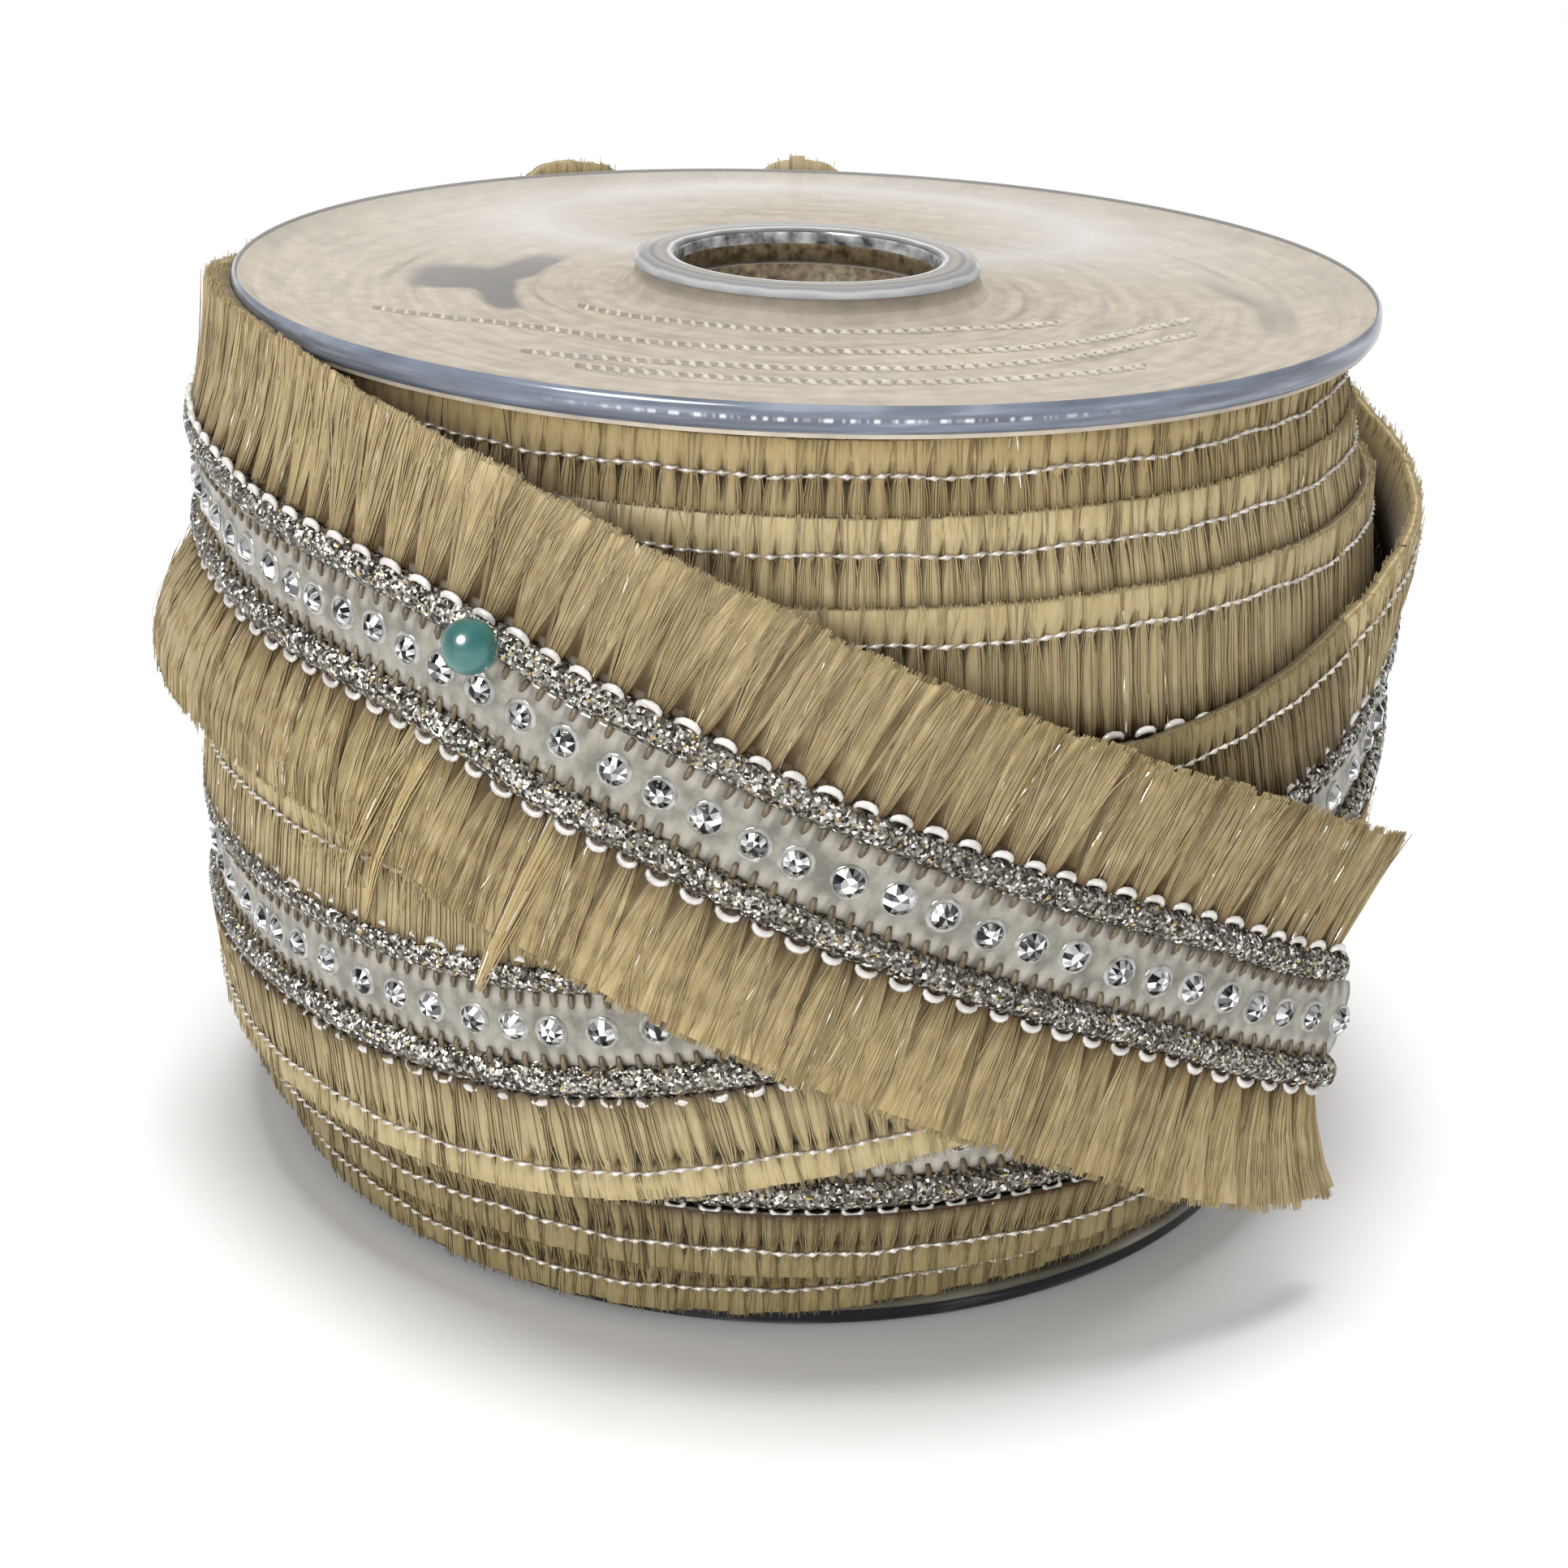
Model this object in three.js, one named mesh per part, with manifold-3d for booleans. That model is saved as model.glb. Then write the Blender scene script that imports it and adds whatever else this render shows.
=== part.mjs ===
// Roll of glitter fringe ribbon on a clear plastic spool, its loose end crossing the front under a pin.
// Units are millimetres, +Z is up and the spool stands on its lower flange at z = 0.
// Winding angles are in degrees: 0 faces the front (-Y) and they grow towards the right (+X).

import * as THREE from "three";
import { mergeVertices } from "three/addons/utils/BufferGeometryUtils.js";
import manifoldModule from "manifold-3d";

const wasm = await manifoldModule();
wasm.setup();
const { Manifold, Mesh: SolidMesh } = wasm;

const GAP = 0.3;

// Spool
const TOP_FLANGE_RADIUS = 50;
const BOTTOM_FLANGE_RADIUS = 48;
const FLANGE_THICKNESS = 2.2;
const SPOOL_HEIGHT = 79;
const FLANGE_EDGE_ROUND = 0.6;
const BORE_RADIUS = 11.7;
const HUB_RADIUS = 14.2;
const COLLAR_RADIUS = 15.4;
const COLLAR_RISE = 0.8;
const SPOOL_SEGMENTS = 72;
const HUB_SEGMENTS = 48;

// Wound ribbon
const ROLL_BOTTOM = FLANGE_THICKNESS + GAP;
const ROLL_TOP = SPOOL_HEIGHT - FLANGE_THICKNESS - GAP;
const ROLL_BORE = HUB_RADIUS + GAP;
const ROLL_SEGMENTS = 72;
const EDGE_STEP = 0.2;

// Ribbon across its width: crystal strip, a glitter cord on each side of it, then the fringe
const STRIP_HALF_WIDTH = 2.75;
const STRIP_THICKNESS = 1.2;
const CORD_WIDTH = 3.0;
const CORD_THICKNESS = 2.2;
const CORD_INNER = STRIP_HALF_WIDTH + GAP;
const CORD_OUTER = CORD_INNER + CORD_WIDTH;
const HEADING_INNER = CORD_OUTER + GAP;
const HEADING_WIDTH = 1.5;
const HEADING_OUTER = HEADING_INNER + HEADING_WIDTH;
const HEADING_THICKNESS = 1.2;
const FRINGE_REACH = 16.9;
const CORD_CHAMFER = 0.4;
const CORD_SHOULDER = 0.55;

// The last wound turn as a raised band on the roll: how deep its foot is buried, and its fringe
const WOUND_FOOT = -4.0;
const WOUND_FRINGE_TIP = 0.7;
const WOUND_FRINGE_ROOT = 1.2;

// Locks of the fringe
const LOCK_ROOT_WIDTH = 1.6;
const LOCK_TIP_WIDTH = 1.2;
const LOCK_ROOT_THICKNESS = 0.8;
const LOCK_TIP_THICKNESS = 0.6;
const LOCK_ROOT = HEADING_INNER + 0.7;
const LOCK_UNEVEN = 0.7;
const LOCK_STRAY = 0.25;

// Pin that holds the loose end
const PIN_ANGLE = 334;
const PIN_ACROSS = 5.1;
const PIN_HEAD_RADIUS = 2.1;

// Outer form of the inner turns, from the lower flange to the upper one. Each lower row of fringe
// laps over the one above it in the upper half, and the rows step back in again in the lower half.
const ROLL_PROFILE = [
  // Two rows of fringe over the lower flange
  { z: ROLL_BOTTOM, radius: 49.6 },
  { z: 4.0, radius: 50.5 },
  { z: 6.6, radius: 51.0 },
  { z: 6.6 + EDGE_STEP, radius: 51.7 },
  { z: 14.0, radius: 52.6 },
  // Band and upper fringe of the low turn
  { z: 14.0 + EDGE_STEP, radius: 53.6 },
  { z: 26.6, radius: 53.8 },
  { z: 26.6 + EDGE_STEP, radius: 53.1 },
  { z: 38.0, radius: 52.6 },
  // Three rows of fringe under the upper flange
  { z: 54.0, radius: 52.2 },
  { z: 64.6, radius: 50.8 },
  { z: 64.6 + EDGE_STEP, radius: 49.6 },
  { z: 71.0, radius: 48.7 },
  { z: 71.0 + EDGE_STEP, radius: 47.8 },
  { z: ROLL_TOP, radius: 47.2 },
];

// Course of the last wound turn: height of its middle and radius of its back.
const LAST_TURN = [
  { angle: -140, height: 24.0, seat: 48.6 },
  { angle: -115, height: 26.6, seat: 51.8 },
  { angle: -90, height: 27.8, seat: 53.0 },
  { angle: -63, height: 28.0, seat: 53.2 },
  { angle: -24, height: 28.6, seat: 53.0 },
  { angle: -12, height: 30.4, seat: 53.0 },
  { angle: 0, height: 33.0, seat: 53.0 },
  { angle: 14, height: 35.6, seat: 53.0 },
  { angle: 41, height: 38.4, seat: 53.0 },
  { angle: 58, height: 42.0, seat: 53.0 },
  { angle: 90, height: 50.0, seat: 53.0 },
  { angle: 135, height: 58.6, seat: 52.8 },
  { angle: 185, height: 62.0, seat: 52.7 },
  { angle: 220, height: 62.5, seat: 52.7 },
];

// Course of the loose end, which leaves the last turn at the left and peels off towards its cut.
const LOOSE_END = [
  { angle: 275, height: 62.2, seat: 52.7 },
  { angle: 294, height: 61.6, seat: 52.7 },
  { angle: 306, height: 60.4, seat: 52.7 },
  { angle: 322, height: 58.9, seat: 52.7 },
  { angle: 333, height: 56.6, seat: 53.1 },
  { angle: 341, height: 54.0, seat: 54.0 },
  { angle: 349, height: 51.4, seat: 54.7 },
  { angle: 356, height: 48.5, seat: 55.2 },
  { angle: 363, height: 45.7, seat: 55.6 },
  { angle: 378, height: 39.5, seat: 55.9 },
  { angle: 393, height: 33.2, seat: 56.8 },
  { angle: 401, height: 29.2, seat: 57.6 },
  { angle: 420, height: 21.4, seat: 60.7 },
];
const COURSE = [...LAST_TURN, ...LOOSE_END];
const LOOSE_START = 275.2;
const LAST_TURN_START = -139;
const LAST_TURN_STOP = 274.8;
const CUT_ANGLE = 409.6;
const CUT_SLANT = 0.4;

// The upper fringe of the last turn lies on the roll up to this angle and stands free past it.
const FREE_FRINGE_START = 59.4;
const FREE_FRINGE_MIDDLE = 167.7;
const WOUND_FRINGE_STOP = 58.5;

// How far the fringe tips stand out from the ribbon's back, how far they trail along it and how
// much shorter they are than the full reach.
const FREE_FRINGE = [
  { angle: 60, stand: 1.0, trail: 0.6, short: 0.0 },
  { angle: 76, stand: 1.7, trail: 0.6, short: 0.2 },
  { angle: 90, stand: 1.6, trail: 0.5, short: 2.2 },
  { angle: 105, stand: 1.2, trail: 0.3, short: 3.3 },
  { angle: 150, stand: 0.2, trail: 0.0, short: 2.2 },
  { angle: 173, stand: 0.0, trail: 0.0, short: 1.5 },
  { angle: 181, stand: 0.0, trail: 0.0, short: -0.6 },
  { angle: 189, stand: 0.0, trail: 0.0, short: 1.7 },
  { angle: 200, stand: 0.0, trail: 0.1, short: 1.7 },
  { angle: 208, stand: 0.0, trail: 0.2, short: 0.0 },
  { angle: 217, stand: -0.3, trail: 0.3, short: 1.7 },
  { angle: 250, stand: -0.8, trail: 0.3, short: 1.8 },
  { angle: 275, stand: -1.0, trail: 0.4, short: 0.7 },
];
const UPPER_FRINGE = [
  { angle: 275, stand: -1.0, trail: 0.4, short: 0.7 },
  { angle: 300, stand: -1.0, trail: 0.5, short: 0.3 },
  { angle: 322, stand: -0.4, trail: 0.6, short: 0.0 },
  { angle: 356, stand: -0.6, trail: 0.4, short: 0.0 },
  { angle: 380, stand: 0.2, trail: 0.6, short: 0.0 },
  { angle: 412, stand: 1.4, trail: 1.6, short: 0.0 },
];
const LOWER_FRINGE = [
  { angle: 275, stand: 4.6, trail: -0.6, short: 0.3 },
  { angle: 292, stand: 5.0, trail: -0.4, short: 0.2 },
  { angle: 312, stand: 3.4, trail: -0.2, short: 0.0 },
  { angle: 340, stand: 2.8, trail: 0.2, short: 0.0 },
  { angle: 356, stand: 1.9, trail: 0.6, short: 0.0 },
  { angle: 380, stand: 1.3, trail: 0.8, short: 0.0 },
  { angle: 404, stand: 1.4, trail: 1.2, short: 0.0 },
  { angle: 412, stand: 1.5, trail: 2.2, short: 0.6 },
];
const TAIL_LOCKS = 58;
const FREE_LOCKS = 36;
const WOUND_STATIONS = 36;
const TAIL_STATIONS = 40;
const FREE_STATIONS = 24;

// Reads a column of a table at an angle, easing from row to row.
function column(table, name, angle) {
  const last = table.length - 1;
  let row = 0;
  while (row < last - 1 && table[row + 1].angle < angle) {
    row += 1;
  }
  const slope = (i) => {
    const before = table[Math.max(i - 1, 0)];
    const after = table[Math.min(i + 1, last)];
    return (after[name] - before[name]) / (after.angle - before.angle);
  };
  const from = table[row];
  const to = table[row + 1];
  const span = to.angle - from.angle;
  const t = THREE.MathUtils.clamp((angle - from.angle) / span, 0, 1);
  const t2 = t * t;
  const t3 = t2 * t;
  const start = (2 * t3 - 3 * t2 + 1) * from[name] + (t3 - 2 * t2 + t) * span * slope(row);
  const end = (3 * t2 - 2 * t3) * to[name] + (t3 - t2) * span * slope(row + 1);
  return start + end;
}

// A point on the ribbon: winding angle of its middle, distance across it and height above its back.
function onRibbon(angle, across, above) {
  const seat = column(COURSE, "seat", angle);
  const height = column(COURSE, "height", angle);
  const ahead = column(COURSE, "height", angle + 0.5);
  const behind = column(COURSE, "height", angle - 0.5);
  const pitch = Math.atan2(ahead - behind, THREE.MathUtils.degToRad(1) * seat);
  const turn = THREE.MathUtils.degToRad(angle) - (across * Math.sin(pitch)) / seat;
  const radius = seat + above;
  const z = height + across * Math.cos(pitch);
  return new THREE.Vector3(radius * Math.sin(turn), -radius * Math.cos(turn), z);
}

// The degrees of winding that a length along the ribbon covers.
function degreesFor(length, angle) {
  return THREE.MathUtils.radToDeg(length / column(COURSE, "seat", angle));
}

function cutAt(across) {
  return CUT_ANGLE - CUT_SLANT * across;
}

// A repeatable unevenness between -1 and 1.
function uneven(index, seed) {
  const value = Math.sin(index * 12.9898 + seed * 78.233) * 43758.5453;
  return 2 * (value - Math.floor(value)) - 1;
}

// Gives a geometry shared corners and outward faces.
function closed(geometry) {
  geometry.deleteAttribute("normal");
  geometry.deleteAttribute("uv");
  const merged = mergeVertices(geometry, 1e-4);
  const index = merged.index.array;
  const point = merged.attributes.position;
  const corner = [new THREE.Vector3(), new THREE.Vector3(), new THREE.Vector3()];
  const kept = [];
  let volume = 0;
  for (let i = 0; i < index.length; i += 3) {
    const [a, b, c] = [index[i], index[i + 1], index[i + 2]];
    if (a === b || b === c || c === a) {
      continue;
    }
    kept.push(a, b, c);
    corner.forEach((v, k) => v.fromBufferAttribute(point, [a, b, c][k]));
    volume += corner[0].dot(corner[1].clone().cross(corner[2]));
  }
  if (volume < 0) {
    for (let i = 0; i < kept.length; i += 3) {
      [kept[i + 1], kept[i + 2]] = [kept[i + 2], kept[i + 1]];
    }
  }
  merged.setIndex(kept);
  return merged;
}

// Skins a row of equal rings and closes both ends. The outline is the ring's flat shape.
function loft(rings, outline) {
  const count = outline.length;
  const positions = [];
  rings.forEach((ring) => ring.forEach((p) => positions.push(p.x, p.y, p.z)));
  const index = [];
  for (let i = 0; i + 1 < rings.length; i += 1) {
    for (let k = 0; k < count; k += 1) {
      const a = i * count + k;
      const b = i * count + ((k + 1) % count);
      index.push(a, b, b + count, a, b + count, a + count);
    }
  }
  const cap = THREE.ShapeUtils.triangulateShape(outline, []);
  const counterclockwise = THREE.ShapeUtils.area(outline) > 0;
  const finish = (rings.length - 1) * count;
  cap.forEach(([a, b, c]) => {
    const [p, q] = counterclockwise ? [c, b] : [b, c];
    index.push(a, p, q);
    index.push(finish + a, finish + q, finish + p);
  });
  const geometry = new THREE.BufferGeometry();
  geometry.setAttribute("position", new THREE.Float32BufferAttribute(positions, 3));
  geometry.setIndex(index);
  return closed(geometry);
}

// Sweeps a cross section along the ribbon. The section may change with the angle.
function sweep(angles, sectionAt) {
  const rings = angles.map((angle) => sectionAt(angle).map((p) => onRibbon(angle, p.x, p.y)));
  return loft(rings, sectionAt(angles[0]));
}

function spread(from, to, steps) {
  return Array.from({ length: steps + 1 }, (_, i) => THREE.MathUtils.lerp(from, to, i / steps));
}

function turned(profile, segments) {
  const points = [...profile, profile[0]].map((p) => new THREE.Vector2(p.radius, p.z));
  const geometry = new THREE.LatheGeometry(points, segments);
  geometry.rotateX(Math.PI / 2);
  return closed(geometry);
}

function toSolid(geometry) {
  const vertProperties = new Float32Array(geometry.attributes.position.array);
  const triVerts = new Uint32Array(geometry.index.array);
  const mesh = new SolidMesh({ numProp: 3, vertProperties, triVerts });
  mesh.merge();
  return new Manifold(mesh);
}

function fused(geometries) {
  const mesh = geometries.map(toSolid).reduce((whole, piece) => whole.add(piece)).getMesh();
  const geometry = new THREE.BufferGeometry();
  geometry.setAttribute("position", new THREE.BufferAttribute(mesh.vertProperties, 3));
  geometry.setIndex(new THREE.BufferAttribute(mesh.triVerts, 1));
  return geometry;
}

function box(left, right, low, high) {
  const corners = [[left, low], [right, low], [right, high], [left, high]];
  return corners.map(([x, y]) => new THREE.Vector2(x, y));
}

function topFlange() {
  const under = SPOOL_HEIGHT - FLANGE_THICKNESS;
  const round = FLANGE_EDGE_ROUND;
  return turned([
    { radius: BORE_RADIUS, z: under },
    { radius: TOP_FLANGE_RADIUS - round, z: under },
    { radius: TOP_FLANGE_RADIUS, z: under + round },
    { radius: TOP_FLANGE_RADIUS, z: SPOOL_HEIGHT - round },
    { radius: TOP_FLANGE_RADIUS - round, z: SPOOL_HEIGHT },
    { radius: COLLAR_RADIUS, z: SPOOL_HEIGHT },
    { radius: COLLAR_RADIUS - COLLAR_RISE, z: SPOOL_HEIGHT + COLLAR_RISE },
    { radius: BORE_RADIUS + round, z: SPOOL_HEIGHT + COLLAR_RISE },
    { radius: BORE_RADIUS, z: SPOOL_HEIGHT + COLLAR_RISE - round },
  ], SPOOL_SEGMENTS);
}

function bottomFlange() {
  const round = FLANGE_EDGE_ROUND;
  return turned([
    { radius: BORE_RADIUS, z: 0 },
    { radius: BOTTOM_FLANGE_RADIUS - round, z: 0 },
    { radius: BOTTOM_FLANGE_RADIUS, z: round },
    { radius: BOTTOM_FLANGE_RADIUS, z: FLANGE_THICKNESS - round },
    { radius: BOTTOM_FLANGE_RADIUS - round, z: FLANGE_THICKNESS },
    { radius: BORE_RADIUS, z: FLANGE_THICKNESS },
  ], SPOOL_SEGMENTS);
}

function hub() {
  return turned([
    { radius: BORE_RADIUS, z: ROLL_BOTTOM },
    { radius: HUB_RADIUS, z: ROLL_BOTTOM },
    { radius: HUB_RADIUS, z: ROLL_TOP },
    { radius: BORE_RADIUS, z: ROLL_TOP },
  ], HUB_SEGMENTS);
}

// Section of the last wound turn, its foot buried in the turns below it.
function woundSection(angle) {
  const free = angle > WOUND_FRINGE_STOP;
  const upperReach = free ? CORD_OUTER : FRINGE_REACH;
  const upperTip = free ? WOUND_FRINGE_ROOT : WOUND_FRINGE_TIP;
  const cordFoot = WOUND_FRINGE_ROOT + EDGE_STEP;
  const outline = [
    { across: -FRINGE_REACH, above: WOUND_FOOT },
    { across: upperReach, above: WOUND_FOOT },
    { across: upperReach, above: upperTip },
    { across: CORD_OUTER, above: cordFoot },
    { across: CORD_OUTER - CORD_CHAMFER, above: CORD_THICKNESS },
    { across: CORD_INNER, above: CORD_THICKNESS },
    { across: CORD_INNER - CORD_CHAMFER, above: STRIP_THICKNESS },
    { across: CORD_CHAMFER - CORD_INNER, above: STRIP_THICKNESS },
    { across: -CORD_INNER, above: CORD_THICKNESS },
    { across: CORD_CHAMFER - CORD_OUTER, above: CORD_THICKNESS },
    { across: -CORD_OUTER, above: cordFoot },
    { across: -FRINGE_REACH, above: WOUND_FRINGE_TIP },
  ];
  return outline.map((p) => new THREE.Vector2(p.across, p.above));
}

function roll() {
  const bore = [{ radius: ROLL_BORE, z: ROLL_TOP }, { radius: ROLL_BORE, z: ROLL_BOTTOM }];
  const turns = turned([...ROLL_PROFILE, ...bore], ROLL_SEGMENTS);
  const angles = [
    ...spread(LAST_TURN_START, WOUND_FRINGE_STOP, WOUND_STATIONS),
    ...spread(WOUND_FRINGE_STOP + GAP, LAST_TURN_STOP, WOUND_STATIONS),
  ];
  const lastTurn = sweep(angles, woundSection);
  return fused([turns, lastTurn]);
}

function crystalStrip() {
  const section = box(-STRIP_HALF_WIDTH, STRIP_HALF_WIDTH, 0, STRIP_THICKNESS);
  return sweep(spread(LOOSE_START, cutAt(0), TAIL_STATIONS), () => section);
}

function cord(side) {
  const middle = side * (CORD_INNER + CORD_WIDTH / 2);
  const half = CORD_WIDTH / 2;
  const section = [
    new THREE.Vector2(middle - half, 0),
    new THREE.Vector2(middle + half, 0),
    new THREE.Vector2(middle + half, CORD_SHOULDER * CORD_THICKNESS),
    new THREE.Vector2(middle + 0.5 * half, CORD_THICKNESS),
    new THREE.Vector2(middle - 0.5 * half, CORD_THICKNESS),
    new THREE.Vector2(middle - half, CORD_SHOULDER * CORD_THICKNESS),
  ];
  return sweep(spread(LOOSE_START, cutAt(middle), TAIL_STATIONS), () => section);
}

// One three-sided lock: its root sits in the heading, its middle bows out and its tip trails.
function lock(angle, side, index, table) {
  const full = FRINGE_REACH - column(table, "short", angle);
  const reach = full + LOCK_UNEVEN * uneven(index, 1) - LOCK_ROOT;
  const stand = column(table, "stand", angle) + LOCK_STRAY * uneven(index, 2);
  const trail = column(table, "trail", angle) + LOCK_STRAY * uneven(index, 3);
  const corners = [
    { along: -1, above: -1 },
    { along: 1, above: -1 },
    { along: 0, above: 1 },
  ];
  const rings = [0, 0.5, 1].map((part) => {
    const halfWidth = THREE.MathUtils.lerp(LOCK_ROOT_WIDTH, LOCK_TIP_WIDTH, part) / 2;
    const halfDeep = THREE.MathUtils.lerp(LOCK_ROOT_THICKNESS, LOCK_TIP_THICKNESS, part) / 2;
    const bow = part * (2 - part);
    const above = HEADING_THICKNESS / 2 + stand * bow;
    const across = side * (LOCK_ROOT + reach * part);
    return corners.map((c) => {
      const shift = degreesFor(trail * part * part + c.along * halfWidth, angle);
      return onRibbon(angle + shift, across, above + c.above * halfDeep);
    });
  });
  return loft(rings, corners.map((c) => new THREE.Vector2(c.along, c.above)));
}

function fringe(side, from, to, locks, stations, table) {
  const inner = side * HEADING_INNER;
  const outer = side * HEADING_OUTER;
  const section = box(Math.min(inner, outer), Math.max(inner, outer), 0, HEADING_THICKNESS);
  const pieces = [sweep(spread(from, to, stations), () => section)];
  const step = (to - from) / locks;
  for (let i = 0; i < locks; i += 1) {
    pieces.push(lock(from + step * (i + 0.5), side, i + side * 0.5, table));
  }
  return fused(pieces);
}

function pinHead() {
  const ball = new THREE.SphereGeometry(PIN_HEAD_RADIUS, 16, 10);
  const place = onRibbon(PIN_ANGLE, PIN_ACROSS, CORD_THICKNESS + GAP + PIN_HEAD_RADIUS);
  ball.translate(place.x, place.y, place.z);
  return closed(ball);
}

const clear = { color: 0xc9d0da, roughness: 0.08, metalness: 0 };
const smoke = { color: 0x3c4244, roughness: 0.15, metalness: 0 };
const yarn = { color: 0xb9a57d, roughness: 0.75, metalness: 0 };
const glitter = { color: 0xb4b1a8, roughness: 0.3, metalness: 0.8 };
const crystal = { color: 0xc6c2ba, roughness: 0.25, metalness: 0 };
const pearl = { color: 0x4f9a95, roughness: 0.25, metalness: 0.1 };

const upperCut = cutAt(HEADING_OUTER);
const lowerCut = cutAt(-HEADING_OUTER);
const backStart = FREE_FRINGE_MIDDLE + GAP;
const tailUpper = fringe(1, LOOSE_START, upperCut, TAIL_LOCKS, TAIL_STATIONS, UPPER_FRINGE);
const tailLower = fringe(-1, LOOSE_START, lowerCut, TAIL_LOCKS, TAIL_STATIONS, LOWER_FRINGE);
const wrapRight = fringe(1, FREE_FRINGE_START, FREE_FRINGE_MIDDLE, FREE_LOCKS, FREE_STATIONS, FREE_FRINGE);
const wrapLeft = fringe(1, backStart, LAST_TURN_STOP, FREE_LOCKS, FREE_STATIONS, FREE_FRINGE);
const parts = [
  ["spool_flange_top", topFlange(), clear],
  ["spool_flange_bottom", bottomFlange(), smoke],
  ["spool_hub", hub(), clear],
  ["ribbon_roll", roll(), yarn],
  ["tail_crystal_strip", crystalStrip(), crystal],
  ["tail_cord_upper", cord(1), glitter],
  ["tail_cord_lower", cord(-1), glitter],
  ["tail_fringe_upper", tailUpper, yarn],
  ["tail_fringe_lower", tailLower, yarn],
  ["wrap_fringe_right", wrapRight, yarn],
  ["wrap_fringe_left", wrapLeft, yarn],
  ["pin_head", pinHead(), pearl],
];

const ribbonRoll = new THREE.Group();
for (const [name, geometry, look] of parts) {
  geometry.computeVertexNormals();
  const mesh = new THREE.Mesh(geometry, new THREE.MeshStandardMaterial(look));
  mesh.name = name;
  ribbonRoll.add(mesh);
}

// The origin is on the table, in the middle of the footprint.
const middle = new THREE.Box3().setFromObject(ribbonRoll, true).getCenter(new THREE.Vector3());
ribbonRoll.position.set(-middle.x, -middle.y, 0);
ribbonRoll.updateMatrixWorld(true);

export default ribbonRoll;
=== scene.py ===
# Roll of glitter fringe ribbon on a clear spool: the finished surfaces, the light and the camera.
# Shapes are worked out in millimetres from the spool's axis and become metres when a piece is made.
# Angles are degrees of winding: 0 faces the front (-Y) and they grow towards the right (+X).
import math
from types import SimpleNamespace

import bpy
import numpy as np
from mathutils import Matrix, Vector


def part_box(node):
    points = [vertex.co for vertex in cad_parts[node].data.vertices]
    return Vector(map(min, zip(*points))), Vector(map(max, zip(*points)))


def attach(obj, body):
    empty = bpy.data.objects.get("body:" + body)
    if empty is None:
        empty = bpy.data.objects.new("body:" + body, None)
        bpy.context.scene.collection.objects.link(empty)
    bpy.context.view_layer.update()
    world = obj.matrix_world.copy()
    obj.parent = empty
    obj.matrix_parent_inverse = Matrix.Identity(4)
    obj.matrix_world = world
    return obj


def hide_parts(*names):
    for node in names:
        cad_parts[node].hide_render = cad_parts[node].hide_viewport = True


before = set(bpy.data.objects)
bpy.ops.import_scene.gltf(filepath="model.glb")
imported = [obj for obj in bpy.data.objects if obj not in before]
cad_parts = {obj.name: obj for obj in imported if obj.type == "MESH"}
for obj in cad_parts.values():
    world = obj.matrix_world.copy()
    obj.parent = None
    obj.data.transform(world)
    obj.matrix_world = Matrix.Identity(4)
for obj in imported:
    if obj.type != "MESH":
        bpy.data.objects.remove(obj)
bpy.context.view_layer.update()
flange_low, flange_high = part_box("spool_flange_top")

MM = 0.001
AXIS = np.array([(flange_low.x + flange_high.x) / 2, (flange_low.y + flange_high.y) / 2, 0.0])
chance = np.random.default_rng(11)

# Camera, in millimetres and radians
LENS = 56.0
SENSOR = 36.0
EYE = np.array([-2.41, -216.9, 122.15])
PITCH_DOWN = 0.4074
ROLL = -0.0348
YAW = -0.0089

# Light and floor
WORLD_STRENGTH = 0.5
SUN_STRENGTH = 2.55
SUN_SPREAD = 22
FILL_POWER = 1.85
FILL_SIZE = 0.35
FILL_SPOT = (-0.15, -0.60, 0.20)
GLINT_POWER = 6.0
GLINT_SIZE = 0.26
GLINT_SPOT = (-0.24, -0.34, 0.40)
FLOOR_RADIUS = 4.0
FLOOR_LEVEL = -0.0002

# Spool
TOP_FLANGE_RADIUS = 50.0
BOTTOM_FLANGE_RADIUS = 48.0
FLANGE_THICKNESS = 2.2
SPOOL_HEIGHT = 79.0
EDGE_ROUND = 0.6
DARK_EDGE = 1.55
BORE_RADIUS = 11.7
HUB_RADIUS = 14.2
COLLAR_RADIUS = 15.4
COLLAR_RISE = 0.8
ROLL_BOTTOM = 2.5
ROLL_TOP = 76.5
ROLL_BORE = 14.5
RIM_GRAIN = 0.09
RIM_LINES = 1.4

# Ribbon across its width, from the middle outwards
STRIP_HALF = 2.75
STRIP_SHOULDER = 3.3
CORD_INNER = 3.15
CORD_OUTER = 5.85
CORD_THICKNESS = 1.9
TUFT_ROOT = 5.7
LOCK_ROOT = 5.8
GROUND_HALF = 6.3

# Spacing along the ribbon
PICOT_PITCH = 2.8
LADDER_PITCH = 1.55
STONE_PITCH = 3.9
STITCH_PITCH = 1.55
CHAIN_PITCH = 1.3
LOOSE_PITCH = 2.9

# Heights above the ribbon's back, and sizes of what is set on it
CORD_SEAT = 0.65
STRIP_BACK = 0.1
STONE_SEAT = 1.05
LADDER_HEIGHT = 1.1
LADDER_LENGTH = 1.15
PICOT_LIFT = 1.3
HIGH_PICOT_LIFT = 2.3
PICOT_HALF = 0.82
PICOT_REACH = 0.52
TIP_DEPTH = 0.75

# Yarns in a loose tuft and in a hanging lock, and the long yarns: how many, first and last angle
LOOSE_YARNS = 88
LOCK_YARNS = 26
STRAND_COUNT = 40
STRANDS_FROM = 316
STRANDS_TO = 338

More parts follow.
